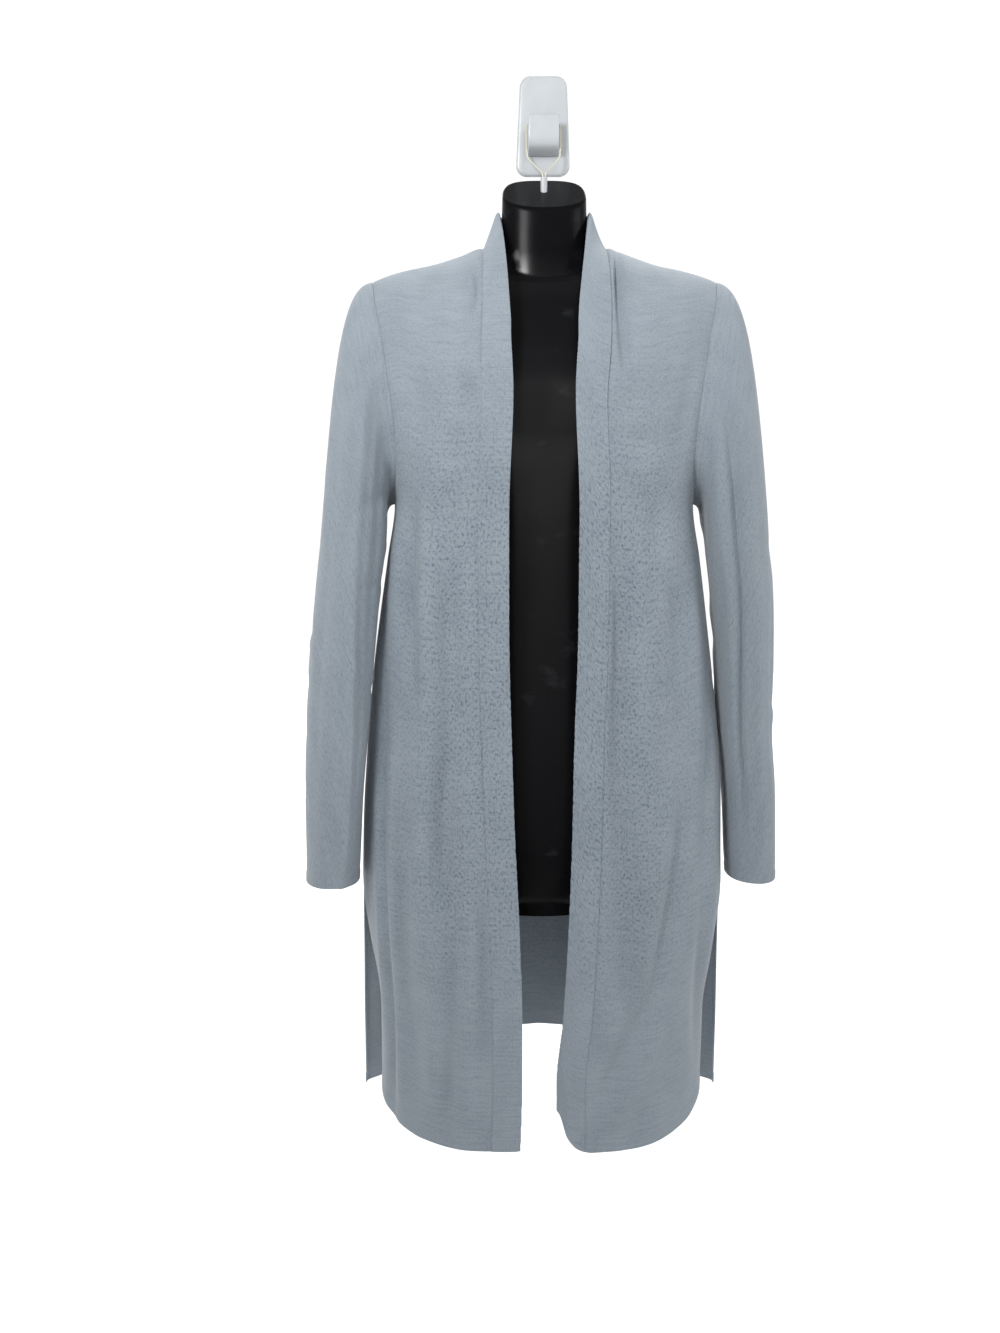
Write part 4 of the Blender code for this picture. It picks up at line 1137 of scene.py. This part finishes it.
def cloth_pieces():
    """The knitted panels, sleeves and band, each a thin sheet on its solid's form."""
    knit = knit_material("knit", (0.272, 0.314, 0.354), (0.084, 0.119, 0.156))
    band_knit = knit_material("band_knit", (0.272, 0.314, 0.354), (0.084, 0.119, 0.156))
    half = back_half()
    neckline = half[-1]
    mirrored = half[:, :0:-1].copy()
    mirrored[..., 0] *= -1
    back = np.concatenate([mirrored, half], axis=1)
    back = flared(back)
    made = {}
    band_halves = {}
    for side, sign, panel_name, sleeve_name, seed in (
        ("left", -1.0, "front_right", "sleeve_right", 5),
        ("right", 1.0, "front_left", "sleeve_left", 9),
    ):
        panel, band = front_and_band(side)
        neck = neck_rows(side, panel, neckline)
        rings = sleeve_rings(side, panel, half)
        made[sleeve_name] = tube_shell(sleeve_name, placed(crumple(rings, seed, side), sign), CLOTH, knit)

        outward = normals(panel, (0.3, 1.0, 0.0))
        out = fold_heights(panel, side) + waves(panel, seed, 0.0022)
        from_hem = edge_distance(panel, 0, False)
        from_shoulder = edge_distance(panel, 0, True)
        from_band = edge_distance(panel, 1, False)
        from_side = edge_distance(panel, 1, True)
        calm = ease(0.0, 0.03, from_shoulder) * ease(0.0, 0.025, from_side) * ease(0.0, 0.007, from_band)
        out = out * calm
        out += seam_sink(from_shoulder) + turned_edge(from_hem, HEM_TURN)
        sink, faded = BAND_SINK[side]
        fade = 0.2 + 0.8 * ease(faded - 0.05, faded + 0.05, panel[..., 2])
        out += seam_sink(from_band, sink, 0.0030) * fade
        in_vent = ease(0.0, 0.02, VENT_TOP - panel[..., 2])
        out += seam_sink(from_side) * (1 - in_vent)
        moved = placed(panel + outward * out[..., None], sign)
        made[panel_name] = shell(panel_name, moved, (0.0, -1.0, 0.0), CLOTH, knit)

        whole = np.concatenate([band, neck])
        outward = normals(whole, (0.0, 1.0, 0.2))
        from_hem = edge_distance(whole, 0, False)
        from_edge = edge_distance(whole, 1, False)
        from_seam = edge_distance(whole, 1, True)
        out = waves(whole, 21, 0.0016) * ease(0.0, 0.02, from_seam)
        out *= 1 - ease(-0.20, -0.14, whole[..., 2])
        fade = 0.2 + 0.8 * ease(faded - 0.05, faded + 0.05, whole[..., 2])
        out += seam_sink(from_seam, 0.0006) * fade + turned_edge(from_hem, HEM_TURN)
        out -= 0.0011 * np.exp(-(from_edge / 0.0018) ** 2)
        whole = whole + outward * out[..., None]
        whole[..., 0] *= sign
        band_halves[side] = whole
    band = np.concatenate([band_halves["left"], band_halves["right"][-2::-1]])
    made["collar_band"] = shell("collar_band", placed(band), (0.0, -1.0, 0.3), BAND_CLOTH, band_knit)

    outward = normals(back, (0.0, -1.0, 0.0))
    out = fold_heights(back, "back") + waves(back, 33, 0.0018)
    from_hem = edge_distance(back, 0, False)
    from_top = edge_distance(back, 0, True)
    from_sides = np.minimum(edge_distance(back, 1, False), edge_distance(back, 1, True))
    calm = ease(0.0, 0.03, from_top) * ease(0.0, 0.03, from_sides)
    inner = 1 - ease(0.0, 0.04, back[..., 2] + 0.86)
    room = np.where(out < 0, inner, 1.0)
    out = out * calm * room
    out += seam_sink(from_top) + turned_edge(from_hem, HEM_TURN)
    in_vent = ease(0.0, 0.02, VENT_TOP - back[..., 2])
    out += seam_sink(from_sides) * (1 - in_vent)
    made["back"] = shell("back", placed(back + outward * out[..., None]), (0.0, 1.0, 0.0), CLOTH, knit)
    return made


def world_and_lights():
    """A white room behind the part, dimmer in front of it, and large soft lamps."""
    world = bpy.data.worlds.new("studio")
    bpy.context.scene.world = world
    world.use_nodes = True
    tree = world.node_tree
    background = tree.nodes["Background"]
    background.inputs["Color"].default_value = (1.0, 1.0, 1.0, 1.0)
    place = tree.nodes.new("ShaderNodeTexCoord")
    parts = tree.nodes.new("ShaderNodeSeparateXYZ")
    link(tree, place.outputs["Generated"], parts.inputs[0])
    behind = mapped(tree, parts.outputs[1], -0.35, 0.80, 0.38, 1.04)
    low = mapped(tree, parts.outputs[2], 0.50, 0.80, 1.0, 0.30)
    link(tree, maths(tree, "MULTIPLY", behind, low), background.inputs["Strength"])
    for name, spot, aim, size, power in (
        ("key", (-0.62, -1.00, 0.28), (-0.02, -0.08, -0.30), 0.32, 12.5),
        ("top", (0.30, -0.90, 0.60), (0.0, -0.08, -0.25), 0.30, 4.0),
        ("fill", (1.60, -0.60, 0.10), (0.0, -0.08, -0.45), 0.80, 11.0),
        ("behind", (-0.60, 1.50, 0.70), (0.0, 0.0, -0.45), 0.60, 1.0),
        ("floor_light", (0.0, 7.0, 6.0), (0.0, 7.0, -1.9), 8.0, 1300.0),
    ):
        lamp = bpy.data.lights.new(name, "AREA")
        lamp.size = size
        lamp.energy = power
        body = bpy.data.objects.new(name, lamp)
        bpy.context.scene.collection.objects.link(body)
        body.location = spot
        body.visible_glossy = name in ("key", "fill")
        away = Vector(aim) - Vector(spot)
        body.rotation_euler = away.to_track_quat("-Z", "Y").to_euler()


def floor():
    made, shader = material("floor_pale", (0.90, 0.90, 0.90), 0.9)
    points = np.array([(-9, -9, -1.9), (9, -9, -1.9), (9, 9, -1.9), (-9, 9, -1.9)], float)
    body = mesh_object("floor", points, [(0, 1, 2, 3)], made)


def camera():
    made = bpy.data.cameras.new("camera")
    made.sensor_width = 36.0
    made.lens = CAMERA_LENS
    made.clip_start = 0.05
    made.clip_end = 200.0
    body = bpy.data.objects.new("camera", made)
    bpy.context.scene.collection.objects.link(body)
    body.location = CAMERA_PLACE
    body.rotation_euler = (math.radians(90.0 - CAMERA_PITCH), 0.0, 0.0)
    bpy.context.scene.camera = body


def main():
    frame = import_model()
    bpy.context.scene.view_settings.view_transform = "Standard"
    world_and_lights()
    floor()
    camera()

    pieces = cloth_pieces()
    for node, body in pieces.items():
        body.name = "knit_" + node
        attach(body, "root")
        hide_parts(node)

    form = torso_form(gloss_material())
    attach(form, "root")
    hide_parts("torso_form")

    pale = plastic_material("hook_pale", (0.47, 0.495, 0.515), (700.0, 700.0, 700.0))
    clear = plastic_material("cord_clear", (0.62, 0.60, 0.50), (1800.0, 1800.0, 500.0))
    cord, length = hang_cord(clear)
    for node, body, slot in (
        ("wall_hook", wall_hook(pale), "hook_pale"),
        ("cord_ferrule", cad_copy(frame, "cord_ferrule", "ferrule", pale), "hook_pale"),
        ("hang_cord", cord, "cord_clear"),
    ):
        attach(body, "root")
        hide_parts(node)


main()
